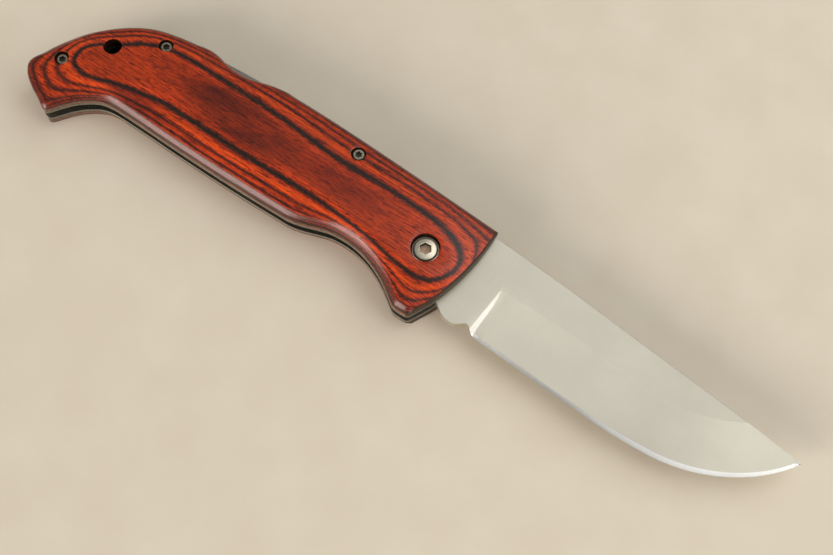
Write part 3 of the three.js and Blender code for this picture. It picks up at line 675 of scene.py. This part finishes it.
def brushed(name, colour, across, rough=(0.24, 0.36), depth=0.004, cloud=0.06, faint=232, along=()):
    """Satin steel with fine lines: across is how close together they lie along x, y and z.

    Along gives places on x, in mm about the pivot, each with the grey that multiplies the colour there:
    painted light and shade along the piece.
    """
    nodes = Nodes(name)
    lines = nodes.noise(across, 3, 0.7)
    clouds = nodes.noise((0.05, 0.08, 0.05), 3)
    tint = nodes.ramp(clouds, [
        (0.3, tuple(c * (1 - cloud) for c in colour[:3]) + (1,)),
        (0.7, tuple(min(1, c * (1 + cloud)) for c in colour[:3]) + (1,)),
    ])
    shade = nodes.ramp(lines, [(0.25, srgb(faint, faint, faint)), (0.7, srgb(255, 255, 255))])
    # Painted light and shade: greys along x multiply the colour
    if along:
        axes = nodes.node("SeparateXYZ")
        nodes.link(nodes.node("TexCoord").outputs["Object"], axes.inputs[0])
        first, last = along[0][0], along[-1][0]
        share = nodes.remap(axes.outputs["X"], (first + PIVOT[0]) * MM, (last + PIVOT[0]) * MM)
        painted_light_greys = nodes.ramp(share, [((x - first) / (last - first), srgb(g, g, g)) for x, g in along])
        tint = nodes.mix(1.0, tint, painted_light_greys, "MULTIPLY")
    nodes.link(nodes.mix(0.8, tint, shade, "MULTIPLY"), nodes.shader.inputs["Base Color"])
    nodes.link(nodes.remap(lines, 0.2, 0.8, *rough), nodes.shader.inputs["Roughness"])
    nodes.bump(lines, depth)
    return nodes.finish(Metallic=1.0)


def dull(name, colour, metallic=0.8):
    """A slightly spotted surface without a shine: dark steel, a socket's floor, sheared edges, and the
    painted shade in sockets, in the scales' bores and on their front ends.
    """
    nodes = Nodes(name)
    spots = nodes.noise((1.2, 1.2, 1.2), 3)
    darker = tuple(c * 0.6 for c in colour[:3]) + (1,)
    nodes.link(nodes.ramp(spots, [(0.3, darker), (0.7, colour)]), nodes.shader.inputs["Base Color"])
    nodes.link(nodes.remap(spots, 0, 1, 0.45, 0.65), nodes.shader.inputs["Roughness"])
    nodes.bump(spots, 0.01, 0.4)
    return nodes.finish(Metallic=metallic, Specular_IOR_Level=0.3)


WOOD = wood()
BLADE_FINISH = ((3, 0.1, 0.5), (0.34, 0.46), 0.001, 0.05, 245)
# The greys along x are painted light and shade: the blade's faces are lighter or darker along their
# length, standing in for how the lamps' reflections change along it
BLADE_STEEL = brushed(
    "blade_satin", srgb(232, 227, 212), *BLADE_FINISH,
    [(10, 237), (24, 247), (50, 230), (70, 222), (80, 222), (92, 230), (105, 224)],
)
# The flats get painted light and shade along x in the same way
FLAT_STEEL = brushed(
    "blade_flat", srgb(232, 227, 212), *BLADE_FINISH,
    [(10, 237), (24, 232), (45, 219), (70, 209), (105, 212)],
)
LINER_STEEL = brushed("liner_satin", srgb(178, 175, 166), (0.2, 4, 4))
LINER_EDGE = dull("liner_edge", srgb(152, 146, 131))
PLUNGE_STEEL = brushed("plunge_bright", srgb(222, 219, 208), (3, 0.4, 0.5), (0.3, 0.4), 0.002, 0.04)
# The pivot screw's steel is painted lighter, standing in for the lamp's reflection on its head; the
# small screws get the same steel, darker
PIVOT_PAINTED_LIGHT_STEEL = brushed("pivot_screw_painted_light", srgb(240, 232, 210), (2, 2, 2), (0.36, 0.48), 0.002, 0.03)
SMALL_SCREW_STEEL = brushed("small_screw_steel", srgb(172, 165, 146), (2, 2, 2), (0.36, 0.48), 0.002, 0.03)
DARK_STEEL = dull("spacer_dark", srgb(70, 68, 66))
# Painted shade: dark wood on the walls of the scales' bores and counterbores, where little light gets
# in
BORE_PAINTED_SHADE = dull("scale_bore_painted_shade", srgb(60, 30, 18), 0)
# Painted shade: a dark brown on the scales' front end faces, which lie in shade
FRONT_PAINTED_SHADE = dull("scale_end_painted_shade", srgb(74, 54, 38), 0)
# The greys along x are painted light and shade on the edge bevel: darker along its middle, and lighter
# at its ends as a painted highlight
EDGE_STEEL = brushed(
    "edge_bright", srgb(250, 250, 246), (3, 0.4, 0.5), (0.3, 0.4), 0.002, 0.05, 240,
    [(30, 255), (45, 226), (60, 236), (75, 240), (88, 255)],
)
# Painted shade: a dark steel on the walls of the screws' sockets, and on the small screws' socket
# floors, where little light gets in
SOCKET_PAINTED_SHADE = dull("socket_painted_shade", srgb(84, 76, 66))
SOCKET_FLOOR = dull("socket_floor", srgb(228, 196, 164))
BRONZE = brushed("washer_bronze", srgb(170, 122, 68), (2, 2, 2), (0.3, 0.42), 0.003)


# Outlines and places, from the CAD and the tables above

COARSE_OUTLINE = flat_loops("upper_liner")[0]
OUTLINE = smooth_loop(COARSE_OUTLINE, OUTLINE_STEP)
BETWEEN_ENDS = (COARSE_OUTLINE[:, 0] > RECESS_ENDS[0]) & (COARSE_OUTLINE[:, 0] < RECESS_ENDS[1])
IN_RECESS = BETWEEN_ENDS & (COARSE_OUTLINE[:, 1] > BELOW_RECESS)
RECESS_FIRST = int(np.flatnonzero(IN_RECESS)[0])
OUT_OF_RECESS = ~np.roll(IN_RECESS, -RECESS_FIRST)
COARSE_RIM = np.roll(COARSE_OUTLINE, -RECESS_FIRST, axis=0)[OUT_OF_RECESS]
RIM = smooth_loop(np.vstack([COARSE_RIM, SPINE_OVER_RECESS]), OUTLINE_STEP)
RIM = RIM + np.outer(RIM_OVERHANG * smoothstep(RIM_OVERHANG_FROM, HANDLE_FRONT, RIM[:, 0]), (1, 0))
FIELD = spline(CROWN_FIELD, FIELD_STEP, closed=True)
IN_FRONT = (OUTLINE[:, 0] > FRONT_SIDE_FROM) & (OUTLINE[:, 1] < FRONT_SIDE_TOP)
FROM_FRONT = np.roll(OUTLINE, -int(np.flatnonzero(IN_FRONT & ~np.roll(IN_FRONT, 1))[0]), axis=0)
FRONT_SIDE = FROM_FRONT[:IN_FRONT.sum()]
LONG_SIDES = np.vstack([FROM_FRONT[IN_FRONT.sum() - 1:], FROM_FRONT[:1]])
POST_NAMES = ("lock_bar", "front_spacer", "rear_spacer")
POSTS = [centre_of(f"{name}_barrel") for name in POST_NAMES]
CORD = np.array(CORD_HOLE_PLACE)


def soft_depth(loop, points):
    """Distance of points in a loop to all of it at once, which rounds the rings near its corners."""
    ends = np.roll(loop, -1, axis=0)
    middles, lengths = (loop + ends) / 2, np.linalg.norm(ends - loop, axis=1)
    apart = np.linalg.norm(points[:, None] - middles[None], axis=2) + 1e-3
    total = (lengths / apart ** RING_SOFTNESS).sum(axis=1)
    straight = math.sqrt(math.pi) * math.gamma((RING_SOFTNESS - 1) / 2) / math.gamma(RING_SOFTNESS / 2)
    return (total / straight) ** (-1 / (RING_SOFTNESS - 1))


def crown(points):
    """Height of the upper scale's surface above the table, before its edges are rounded."""
    beyond = signed_distance(FIELD, points)
    depth = np.maximum(0, -signed_distance(RIM, points))
    x, y = points[:, 0], points[:, 1]
    softness = smoothstep(*SOFT_BUTT, x) + smoothstep(*SOFT_GUARD[0], x) * smoothstep(*SOFT_GUARD[1], y)
    near = softness > 0
    depth[near] += softness[near] * np.minimum(0, soft_depth(RIM, points[near]) - depth[near])
    share = beyond / (beyond + depth)
    within = np.maximum(0, 1 + np.minimum(0, share) / CROWN_FLAT_SHARE)
    slope = CROWN_POWER * CROWN_FIELD_DROP / CROWN_FLAT_SHARE
    return TOP - CROWN_FIELD_DROP * within ** CROWN_POWER - slope * np.maximum(0, share)


def edge_drop(points):
    """How far the rounded edge lies below the crown, with another width and depth on each side."""
    x, y = points[:, 0], points[:, 1]
    size = np.broadcast_to(np.array(SPINE_ROUNDING, float), (len(points), 2))
    in_recess = smoothstep(*RECESS_FROM, x) * smoothstep(*RECESS_TO, x) * smoothstep(*RECESS_OVER, y)
    sides = (
        (BELLY_ROUNDING, smoothstep(*BELLY_BELOW, y)),
        (HOOK_ROUNDING, smoothstep(*HOOK_BEHIND, x) * smoothstep(*HOOK_BELOW, y)),
        (RECESS_ROUNDING, in_recess),
    )
    for rounding, weight in sides:
        size = size + (np.array(rounding) - size) * weight[:, None]

    def drop(distance, width, depth):
        inward = np.clip((width - distance) / width, 0, 1)
        return depth * (1 - (1 - inward ** EDGE_FULLNESS) ** (1 / EDGE_FULLNESS))

    at_sides = drop(distance_to(LONG_SIDES, points), *size.T)
    at_front = drop(distance_to(FRONT_SIDE, points), *FRONT_ROUNDING)
    return np.maximum(at_sides, at_front)


def grid(loop, margin, step=SURFACE_STEP):
    """Points of a staggered grid that lie inside a loop by a margin."""
    low, high = loop.min(axis=0), loop.max(axis=0)
    rows = np.arange(low[1], high[1], step * GRID_ROW)
    points = [
        (x, y)
        for row, y in enumerate(rows)
        for x in np.arange(low[0] + step / 2 * (row % 2), high[0], step)
    ]
    points = np.array(points)
    return points[signed_distance(loop, points) < -margin]


def make_scale(name, node, flipped):
    """One scale of the handle, drawn as the upper one."""
    bores = [(np.zeros(2), PIVOT_BORE, PIVOT_COUNTERBORE, RIM_CHAMFER)]
    bores += [(post, SCREW_BORE, SCREW_COUNTERBORE, RIM_CHAMFER) for post in POSTS]
    bores += [(CORD, CORD_HOLE, CORD_HOLE, CORD_RIM_CHAMFER)]
    floors = [levels("pivot_screw")[1] - PIVOT_HEAD_HEIGHT]
    floors += [levels(f"upper_{post}_screw")[1] - SCREW_HEAD_HEIGHT for post in POST_NAMES]
    mouths = [circle(centre, wide) for centre, _, wide, _ in bores]

    def height(points):
        drop = edge_drop(points)
        for centre, _, wide, chamfer in bores:
            out = np.linalg.norm(points - centre, axis=1) - wide
            drop = drop + RIM_SLOPE * np.maximum(0, chamfer - np.maximum(0, out))
        return np.maximum(SCALE_BOTTOM + LEAST_WALL, crown(points) - drop)

    near_edge = [inset(OUTLINE, distance) for distance in EDGE_INSETS]
    extra = np.vstack([*near_edge, grid(OUTLINE, EDGE_MARGIN)])
    for centre, _, wide, chamfer in bores:
        extra = extra[np.linalg.norm(extra - centre, axis=1) > wide + chamfer + BORE_MARGIN]
    collars = [circle(centre, wide + chamfer) for centre, _, wide, chamfer in bores]
    extra = np.vstack([extra, *collars])

    shell = Shell()
    shell.surface([OUTLINE, *mouths], height, extra)
    narrow_mouths = [circle(centre, narrow) for centre, narrow, _, _ in bores]
    shell.surface([OUTLINE, *narrow_mouths], level(SCALE_BOTTOM), up=False)
    wall_top = height(OUTLINE)
    low = SCALE_BOTTOM
    shell.wall(OUTLINE, low, low + (wall_top - low) * 0.5, wall_top)
    for (centre, narrow, _, _), mouth, floor in zip(bores, mouths, [*floors, None]):
        inner = circle(centre, narrow)[::-1]
        outer = mouth[::-1]
        top = height(outer)
        if floor is None:
            shell.wall(outer, low, top)
            continue
        shell.wall(inner, low, floor)
        shell.rings([ring_at(inner, floor), ring_at(outer, floor)])
        shell.wall(outer, floor, top)
    scale = shell.build(name, WOOD, "handle", [node], flipped)

    def in_bores(middles, normals):
        apart = [np.linalg.norm(middles[:, :2] - centre, axis=1) - wide for centre, _, wide, _ in bores]
        on_wall = np.min(apart, axis=0) < ON_WALL
        return on_wall & (np.abs(middles[:, 2] - MIDDLE) > SCALE_BOTTOM - MIDDLE)

    def on_front(middles, normals):
        return (distance_to(FRONT_SIDE, middles[:, :2]) < FRONT_SHADE_REACH) & ~in_bores(middles, normals)

    # The bores' walls get painted shade
    paint(scale, BORE_PAINTED_SHADE, in_bores)
    # The front end faces get painted shade
    paint(scale, FRONT_PAINTED_SHADE, on_front)


def make_plate(name, node, material, body="handle", chamfer=PLATE_CHAMFER, corner=PLATE_CORNER):
    """A flat CAD plate drawn again with a fine outline, round bores and eased edges."""
    low, high = levels(node)
    outer, *holes = flat_loops(node)
    outline = smooth_loop(outer, OUTLINE_STEP, corner)
    circles = []
    for hole in holes:
        centre = (hole.min(axis=0) + hole.max(axis=0)) / 2
        circles.append((centre, np.linalg.norm(hole - centre, axis=1).mean()))
    eased = drawn_in(outline, chamfer)
    bores = [circle(centre, radius) for centre, radius in circles]
    shell = Shell()
    shell.surface([eased, *bores], level(high))
    shell.surface([eased, *bores], level(low), up=False)
    sides = [(eased, low), (outline, low + chamfer), (outline, high - chamfer), (eased, high)]
    shell.rings([ring_at(ring, z) for ring, z in sides])
    for bore in bores:
        shell.wall(bore[::-1], low, high)
    return shell.build(name, material, body, [node])


def make_liners():
    """Both liners, whose sheared edges are duller than their faces."""
    for side in ("upper", "lower"):
        liner = make_plate(
            f"{side}_liner_sheet", f"{side}_liner", LINER_STEEL, corner=HANDLE_CORNER
        )
        paint(liner, LINER_EDGE, lambda middles, normals: np.abs(normals[:, 2]) < SHEARED_FACING)


def height_along(line):
    """The y of a line as a function of x."""
    return lambda x: np.interp(x, line[:, 0], line[:, 1])


def rounded_max(first, second, reach):
    """The larger of two values, with the corner between them rounded."""
    overlap = np.maximum(0, reach - np.abs(first - second)) / reach
    return np.maximum(first, second) + overlap ** 2 * reach / 4


def make_blade():
    """The blade: flat tang and ricasso, a plunge, a ground face, and a bright edge bevel."""
    spine = spline(BLADE_SPINE, BLADE_LINE_STEP)
    edge = spline(BLADE_EDGE, BLADE_EDGE_STEP)
    grind = spline(GRIND_LINE, BLADE_LINE_STEP)
    spine_at, edge_at, grind_at = (height_along(line) for line in (spine, edge, grind))
    full = BLADE_HALF

    def bevel_at(x):
        """Upper border of the edge bevel, which gets wider towards the tip."""
        widest = EDGE_BEVEL + (TIP_EDGE_BEVEL - EDGE_BEVEL) * smoothstep(*EDGE_BEVEL_CHANGE, x)
        face = np.minimum(spine_at(x) - SPINE_REACHED, grind_at(x)) - edge_at(x)
        return edge_at(x) + np.minimum(widest, EDGE_BEVEL_MOST * face)

    def plunge_at(y):
        return PLUNGE_START + PLUNGE_LEAN * y

    def plunge_slope(y):
        steep, shallow = PLUNGE_SLOPE
        return steep + (shallow - steep) * smoothstep(*PLUNGE_HEIGHTS, y)

    slope = (full - EDGE_BEVEL_HALF) / (GRIND_LINE[0][1] + RICASSO_DEPTH - EDGE_BEVEL)

    def ground_half(x, y):
        """Half of the thickness where the blade is ground."""
        bevel, shoulder = bevel_at(x), grind_at(x)
        tip = shoulder > spine_at(x) - SPINE_REACHED
        face = np.clip((y - bevel) / (shoulder - bevel), 0, 1)
        half = EDGE_BEVEL_HALF + np.where(tip, slope * (y - bevel), (full - EDGE_BEVEL_HALF) * face)
        share = np.clip((y - edge_at(x)) / (bevel - edge_at(x)), 0, 1)
        bevelled = EDGE_LAND_HALF + (EDGE_BEVEL_HALF - EDGE_LAND_HALF) * share
        return np.minimum(full, np.where(y < bevel, bevelled, half))

    def half(points):
        """Half of the thickness everywhere, full on the tang and the ricasso."""
        x, y = points[:, 0], points[:, 1]
        into = rounded_max(0, x - plunge_at(y), CREST_ROUNDING)
        wall = full - plunge_slope(y) * into
        ground = ground_half(np.maximum(x, PLUNGE_START - 1), y)
        shaped = np.minimum(full, rounded_max(wall, ground, FOOT_ROUNDING))
        return np.where(x < PLUNGE_START - 2, full, shaped)

    # Outline: the tang as the CAD has it, then the choil, the edge, the tip and the spine
    tang = smooth_loop(flat_loops("blade")[0], OUTLINE_STEP)
    tang = tang[tang[:, 0] < TANG_END]
    first = int(np.argmin(np.where(tang[:, 1] > 10, -tang[:, 0], 0)))
    tang = np.roll(tang, -first, axis=0)
    choil = spline(CHOIL, CHOIL_STEP)
    cutting = edge[edge[:, 0] > choil[-1][0] + CUTTING_GAP]
    back = spine[spine[:, 0] > tang[0][0] + BACK_GAP][::-1]
    outline = np.vstack([tang, choil, cutting, back])
    bore = circle((0, 0), TANG_BORE)

    # Lines that the faces keep to: both sides of the plunge, the edge bevel and the grind line
    rise = np.arange(PLUNGE_BOTTOM, GRIND_LINE[0][1], PLUNGE_STEP)
    crest = np.column_stack([plunge_at(rise), rise])
    depth = full - ground_half(plunge_at(rise) + 0.5, rise)
    foot = crest + np.outer(depth / plunge_slope(rise), (1, 0))
    stations = np.arange(PLUNGE_START + FIRST_STATION, BLADE_REACH - STATION_STEP, STATION_STEP)
    stations = np.append(stations, BLADE_REACH - TIP_STATIONS)
    bevel = np.column_stack([stations, bevel_at(stations)])
    below_spine = grind_at(stations) < spine_at(stations) - SHOULDER_GAP
    shoulder = np.column_stack([stations, grind_at(stations)])[below_spine]

    # Points between them
    face = [
        (x, bevel_at(x) + (min(grind_at(x), spine_at(x) - FACE_GAP) - bevel_at(x)) * row)
        for x in stations
        for row in FACE_ROWS
    ]
    plunge = [(x + away, y) for x, y in crest for away in CREST_ROWS]
    plunge += [(x + away, y) for x, y in foot for away in FOOT_ROWS]
    flat = grid(outline, FLAT_MARGIN, FLAT_STEP)
    on_tang = flat[:, 0] < plunge_at(flat[:, 1]) - FLAT_GAPS[0]
    over_line = flat[:, 1] > grind_at(flat[:, 0]) + FLAT_GAPS[1]
    flat = flat[(on_tang | over_line) & (np.linalg.norm(flat, axis=1) > AROUND_BORE)]
    above_line = shoulder + (0, SHOULDER_GAP)

    def on_eased_side(points):
        return (points[:, 1] > spine_at(points[:, 0]) - SPINE_SIDE) | (points[:, 0] < TANG_END)

    eased = inset(outline, EASED_ROW)
    inside = np.vstack([face, plunge, flat, above_line, eased[on_eased_side(eased)]])
    inside = inside[signed_distance(outline, inside) < -INSIDE_MARGIN]

    def top(points):
        """Height of the upper face, whose edges are eased round the tang and along the spine."""
        near = np.maximum(0, BLADE_CHAMFER_REACH + signed_distance(outline, points))
        most = BLADE_CHAMFER_MOST * half(points)
        chamfer = np.minimum(near * BLADE_CHAMFER / BLADE_CHAMFER_REACH, most)
        return MIDDLE + half(points) - np.where(on_eased_side(points), chamfer, 0)

    shell = Shell()
    lines = [bevel, shoulder, crest, foot]
    shell.surface([outline, bore], top, inside, lines)
    shell.surface([outline, bore], lambda points: TOP - top(points), inside, lines, up=False)
    for loop in (outline, bore[::-1]):
        shell.wall(loop, TOP - top(loop), top(loop))
    blade = shell.build("blade_ground", BLADE_STEEL, "blade", ["blade"], sharp=BLADE_TURN)

    def on_bevel(middles, normals):
        x, y = middles[:, 0], middles[:, 1]
        return (x > PLUNGE_START) & (y < bevel_at(x)) & (np.abs(normals[:, 2]) > BEVEL_FACING)

    def on_flat_face(middles, normals):
        x, y = middles[:, 0], middles[:, 1]
        return ((x < plunge_at(y)) | (y > grind_at(x))) & (grind_at(x) < spine_at(x) - SPINE_REACHED)

    def on_plunge(middles, normals):
        past_crest = middles[:, 0] - plunge_at(middles[:, 1])
        slanted = (normals[:, 0] > PLUNGE_TILT) & (np.abs(normals[:, 2]) > PLUNGE_FACING)
        return (np.abs(past_crest - PLUNGE_MIDDLE) < PLUNGE_REACH) & slanted

    paint(blade, FLAT_STEEL, on_flat_face)
    paint(blade, PLUNGE_STEEL, on_plunge)
    paint(blade, EDGE_STEEL, on_bevel)


def make_screw(name, node, centre, seat, profile, bottom, socket, depth, metal, floor, flipped):
    """A screw drawn with its head up, turned from (radius, height over the seat), with a socket."""
    rings = [ring_at(circle(centre, radius, HEAD_SIDES), seat + height) for radius, height in profile]
    top = seat + profile[-1][1]
    lowest, around = rings[0][:, :2], rings[-1][:, :2]
    socket = socket + centre
    eased = centre + (socket - centre) * SOCKET_MOUTH
    sides = [(socket, top - depth), (socket, top - SOCKET_LIP), (eased, top)]
    shell = Shell()
    shell.rings(rings)
    shell.surface([around, eased], level(top))
    shell.rings([ring_at(ring[::-1], z) for ring, z in sides])
    shell.surface([socket], level(top - depth))
    shell.surface([lowest], level(bottom), up=False)
    screw = shell.build(name, metal, "handle", [node], flipped, HEAD_TURN)
    reach = np.linalg.norm(socket - centre, axis=1).max()

    def in_socket(lowest, highest):
        """Chooses the faces in the socket between two heights over its floor."""
        def chosen(middles, normals):
            height = np.abs(middles[:, 2] - MIDDLE) + MIDDLE - (top - depth)
            near = np.linalg.norm(middles[:, :2] - centre, axis=1) < reach * SOCKET_SPREAD
            return near & (height > lowest) & (height < highest)
        return chosen

    # The socket's walls get painted shade
    paint(screw, SOCKET_PAINTED_SHADE, in_socket(SAME_LEVEL, depth - SOCKET_RIM))
    paint(screw, floor, in_socket(-SAME_LEVEL, SAME_LEVEL))


def hexagon():
    """The pivot's socket, with three points between the corners of each side."""
    angle = math.radians(HEX_TURN) + 2 * math.pi * np.arange(6) / 6
    corners = HEX_RADIUS * np.stack([np.cos(angle), np.sin(angle)], axis=1)
    shares = np.arange(4)[:, None] / 4
    return np.vstack([a + (b - a) * shares for a, b in zip(corners, np.roll(corners, -1, axis=0))])


def six_lobes():
    """The socket of the small screws."""
    angle = 2 * math.pi * np.arange(LOBE_SIDES) / LOBE_SIDES
    radius = LOBE_RADIUS + LOBE_HEIGHT * np.cos(LOBES * angle)
    return np.stack([radius * np.cos(angle), radius * np.sin(angle)], axis=1)


def make_pivot_screws():
    """The pivot screw above and the pivot sleeve below, which look alike from outside."""
    seat = levels("pivot_screw")[1] - PIVOT_HEAD_HEIGHT
    for name, node, radius, end, flipped in (
        ("pivot_screw_head", "pivot_screw", PIVOT_SHANK_RADIUS, levels("pivot_screw")[0], False),
        ("pivot_sleeve_head", "pivot_sleeve", SLEEVE_RADIUS, TOP - levels("pivot_sleeve")[1], True),
    ):
        profile = [(radius, end - seat), (radius, 0), *PIVOT_HEAD_PROFILE]
        make_screw(
            name, node, np.zeros(2), seat, profile, bottom=end, socket=hexagon(), depth=HEX_DEPTH,
            metal=PIVOT_PAINTED_LIGHT_STEEL, floor=SOCKET_FLOOR, flipped=flipped,
        )


def make_small_screws():
    """The six screws in the posts, which are alike."""
    inward, downward = SCREW_CHAMFER_MIDDLE
    for post, centre in zip(POST_NAMES, POSTS):
        low, high = levels(f"upper_{post}_screw")
        seat = high - SCREW_HEAD_HEIGHT
        profile = [
            (SCREW_SHANK_RADIUS, low - seat), (SCREW_SHANK_RADIUS, 0), (SCREW_HEAD_RADIUS, 0),
            (SCREW_HEAD_RADIUS, SCREW_HEAD_HEIGHT - SCREW_CHAMFER),
            (SCREW_HEAD_RADIUS - inward, SCREW_HEAD_HEIGHT - downward),
            (SCREW_HEAD_RADIUS - SCREW_CHAMFER, SCREW_HEAD_HEIGHT),
        ]
        for side, flipped in (("upper", False), ("lower", True)):
            node = f"{side}_{post}_screw"
            make_screw(
                f"{node}_head", node, centre, seat, profile, bottom=low, socket=six_lobes(),
                depth=LOBE_DEPTH, metal=SMALL_SCREW_STEEL, floor=SOCKET_PAINTED_SHADE, flipped=flipped,
            )


def finish_cad_nodes():
    """The CAD nodes that stay get their own materials."""
    finishes = {
        "lock_spring": DARK_STEEL,
        "lock_bar_barrel": DARK_STEEL,
        "front_spacer_barrel": DARK_STEEL,
        "rear_spacer_barrel": DARK_STEEL,
        "upper_pivot_washer": BRONZE,
        "lower_pivot_washer": BRONZE,
    }
    for node, material in finishes.items():
        slots = frame["nodes"][node].data.materials
        slots.clear()
        slots.append(material)


# Stage, camera and light


def make_floor():
    """A plain pale floor at z = 0."""
    nodes = Nodes("floor_pale")
    spots = nodes.noise((0.06, 0.06, 0.06), 3)
    pale = nodes.ramp(spots, [(0.3, srgb(224, 213, 194)), (0.7, srgb(229, 219, 201))])
    nodes.link(pale, nodes.shader.inputs["Base Color"])
    material = nodes.finish(Roughness=0.85, Specular_IOR_Level=0.2)
    mesh = bpy.data.meshes.new("floor")
    half = FLOOR_HALF
    corners = [(-half, -half, 0), (half, -half, 0), (half, half, 0), (-half, half, 0)]
    mesh.from_pydata(corners, [], [(0, 1, 2, 3)])
    mesh.materials.append(material)
    floor = bpy.data.objects.new("floor", mesh)
    bpy.context.scene.collection.objects.link(floor)


def looking(place, target, up=(0, 1, 0)):
    """The matrix of a camera or lamp at a place, in mm about the pivot, that looks at a target."""
    place, target = Vector(place), Vector(target)
    forward = (target - place).normalized()
    side = forward.cross(Vector(up)).normalized()
    above = side.cross(forward)
    turn = Matrix((side, above, -forward)).transposed().to_4x4()
    return Matrix.Translation((place + Vector(PIVOT)) * MM) @ turn


def make_camera():
    data = bpy.data.cameras.new("camera")
    data.lens = LENS
    data.sensor_width = SENSOR
    data.sensor_fit = "HORIZONTAL"
    data.clip_start = CLIP_START
    camera = bpy.data.objects.new("camera", data)
    camera.matrix_world = looking(CAMERA_PLACE, CAMERA_TARGET, IMAGE_UP)
    bpy.context.scene.collection.objects.link(camera)
    bpy.context.scene.camera = camera


def make_lamp(name, place, target, size, radiance, colour):
    """A rectangular soft lamp whose face is as bright as radiance times a white surface."""
    data = bpy.data.lights.new(name, "AREA")
    data.shape = "RECTANGLE"
    data.size, data.size_y = (s * MM for s in size)
    data.energy = radiance * math.pi * data.size * data.size_y
    data.color = colour
    lamp = bpy.data.objects.new(name, data)
    lamp.matrix_world = looking(place, target)
    bpy.context.scene.collection.objects.link(lamp)


def make_light():
    scene = bpy.context.scene
    world = bpy.data.worlds.new("room")
    world.use_nodes = True
    background = world.node_tree.nodes["Background"]
    background.inputs["Color"].default_value = ROOM_COLOUR
    background.inputs["Strength"].default_value = ROOM_STRENGTH
    scene.world = world
    for lamp in LAMPS:
        make_lamp(*lamp)
    scene.view_settings.view_transform = "Standard"


make_scale("upper_scale_wood", "upper_scale", False)
make_scale("lower_scale_wood", "lower_scale", True)
make_liners()
make_plate("lock_bar_steel", "lock_bar", LINER_STEEL, "lock_bar", LOCK_BAR_CHAMFER)
make_plate("back_spacer_steel", "back_spacer", DARK_STEEL)
make_blade()
make_pivot_screws()
make_small_screws()
finish_cad_nodes()
make_floor()
make_camera()
make_light()
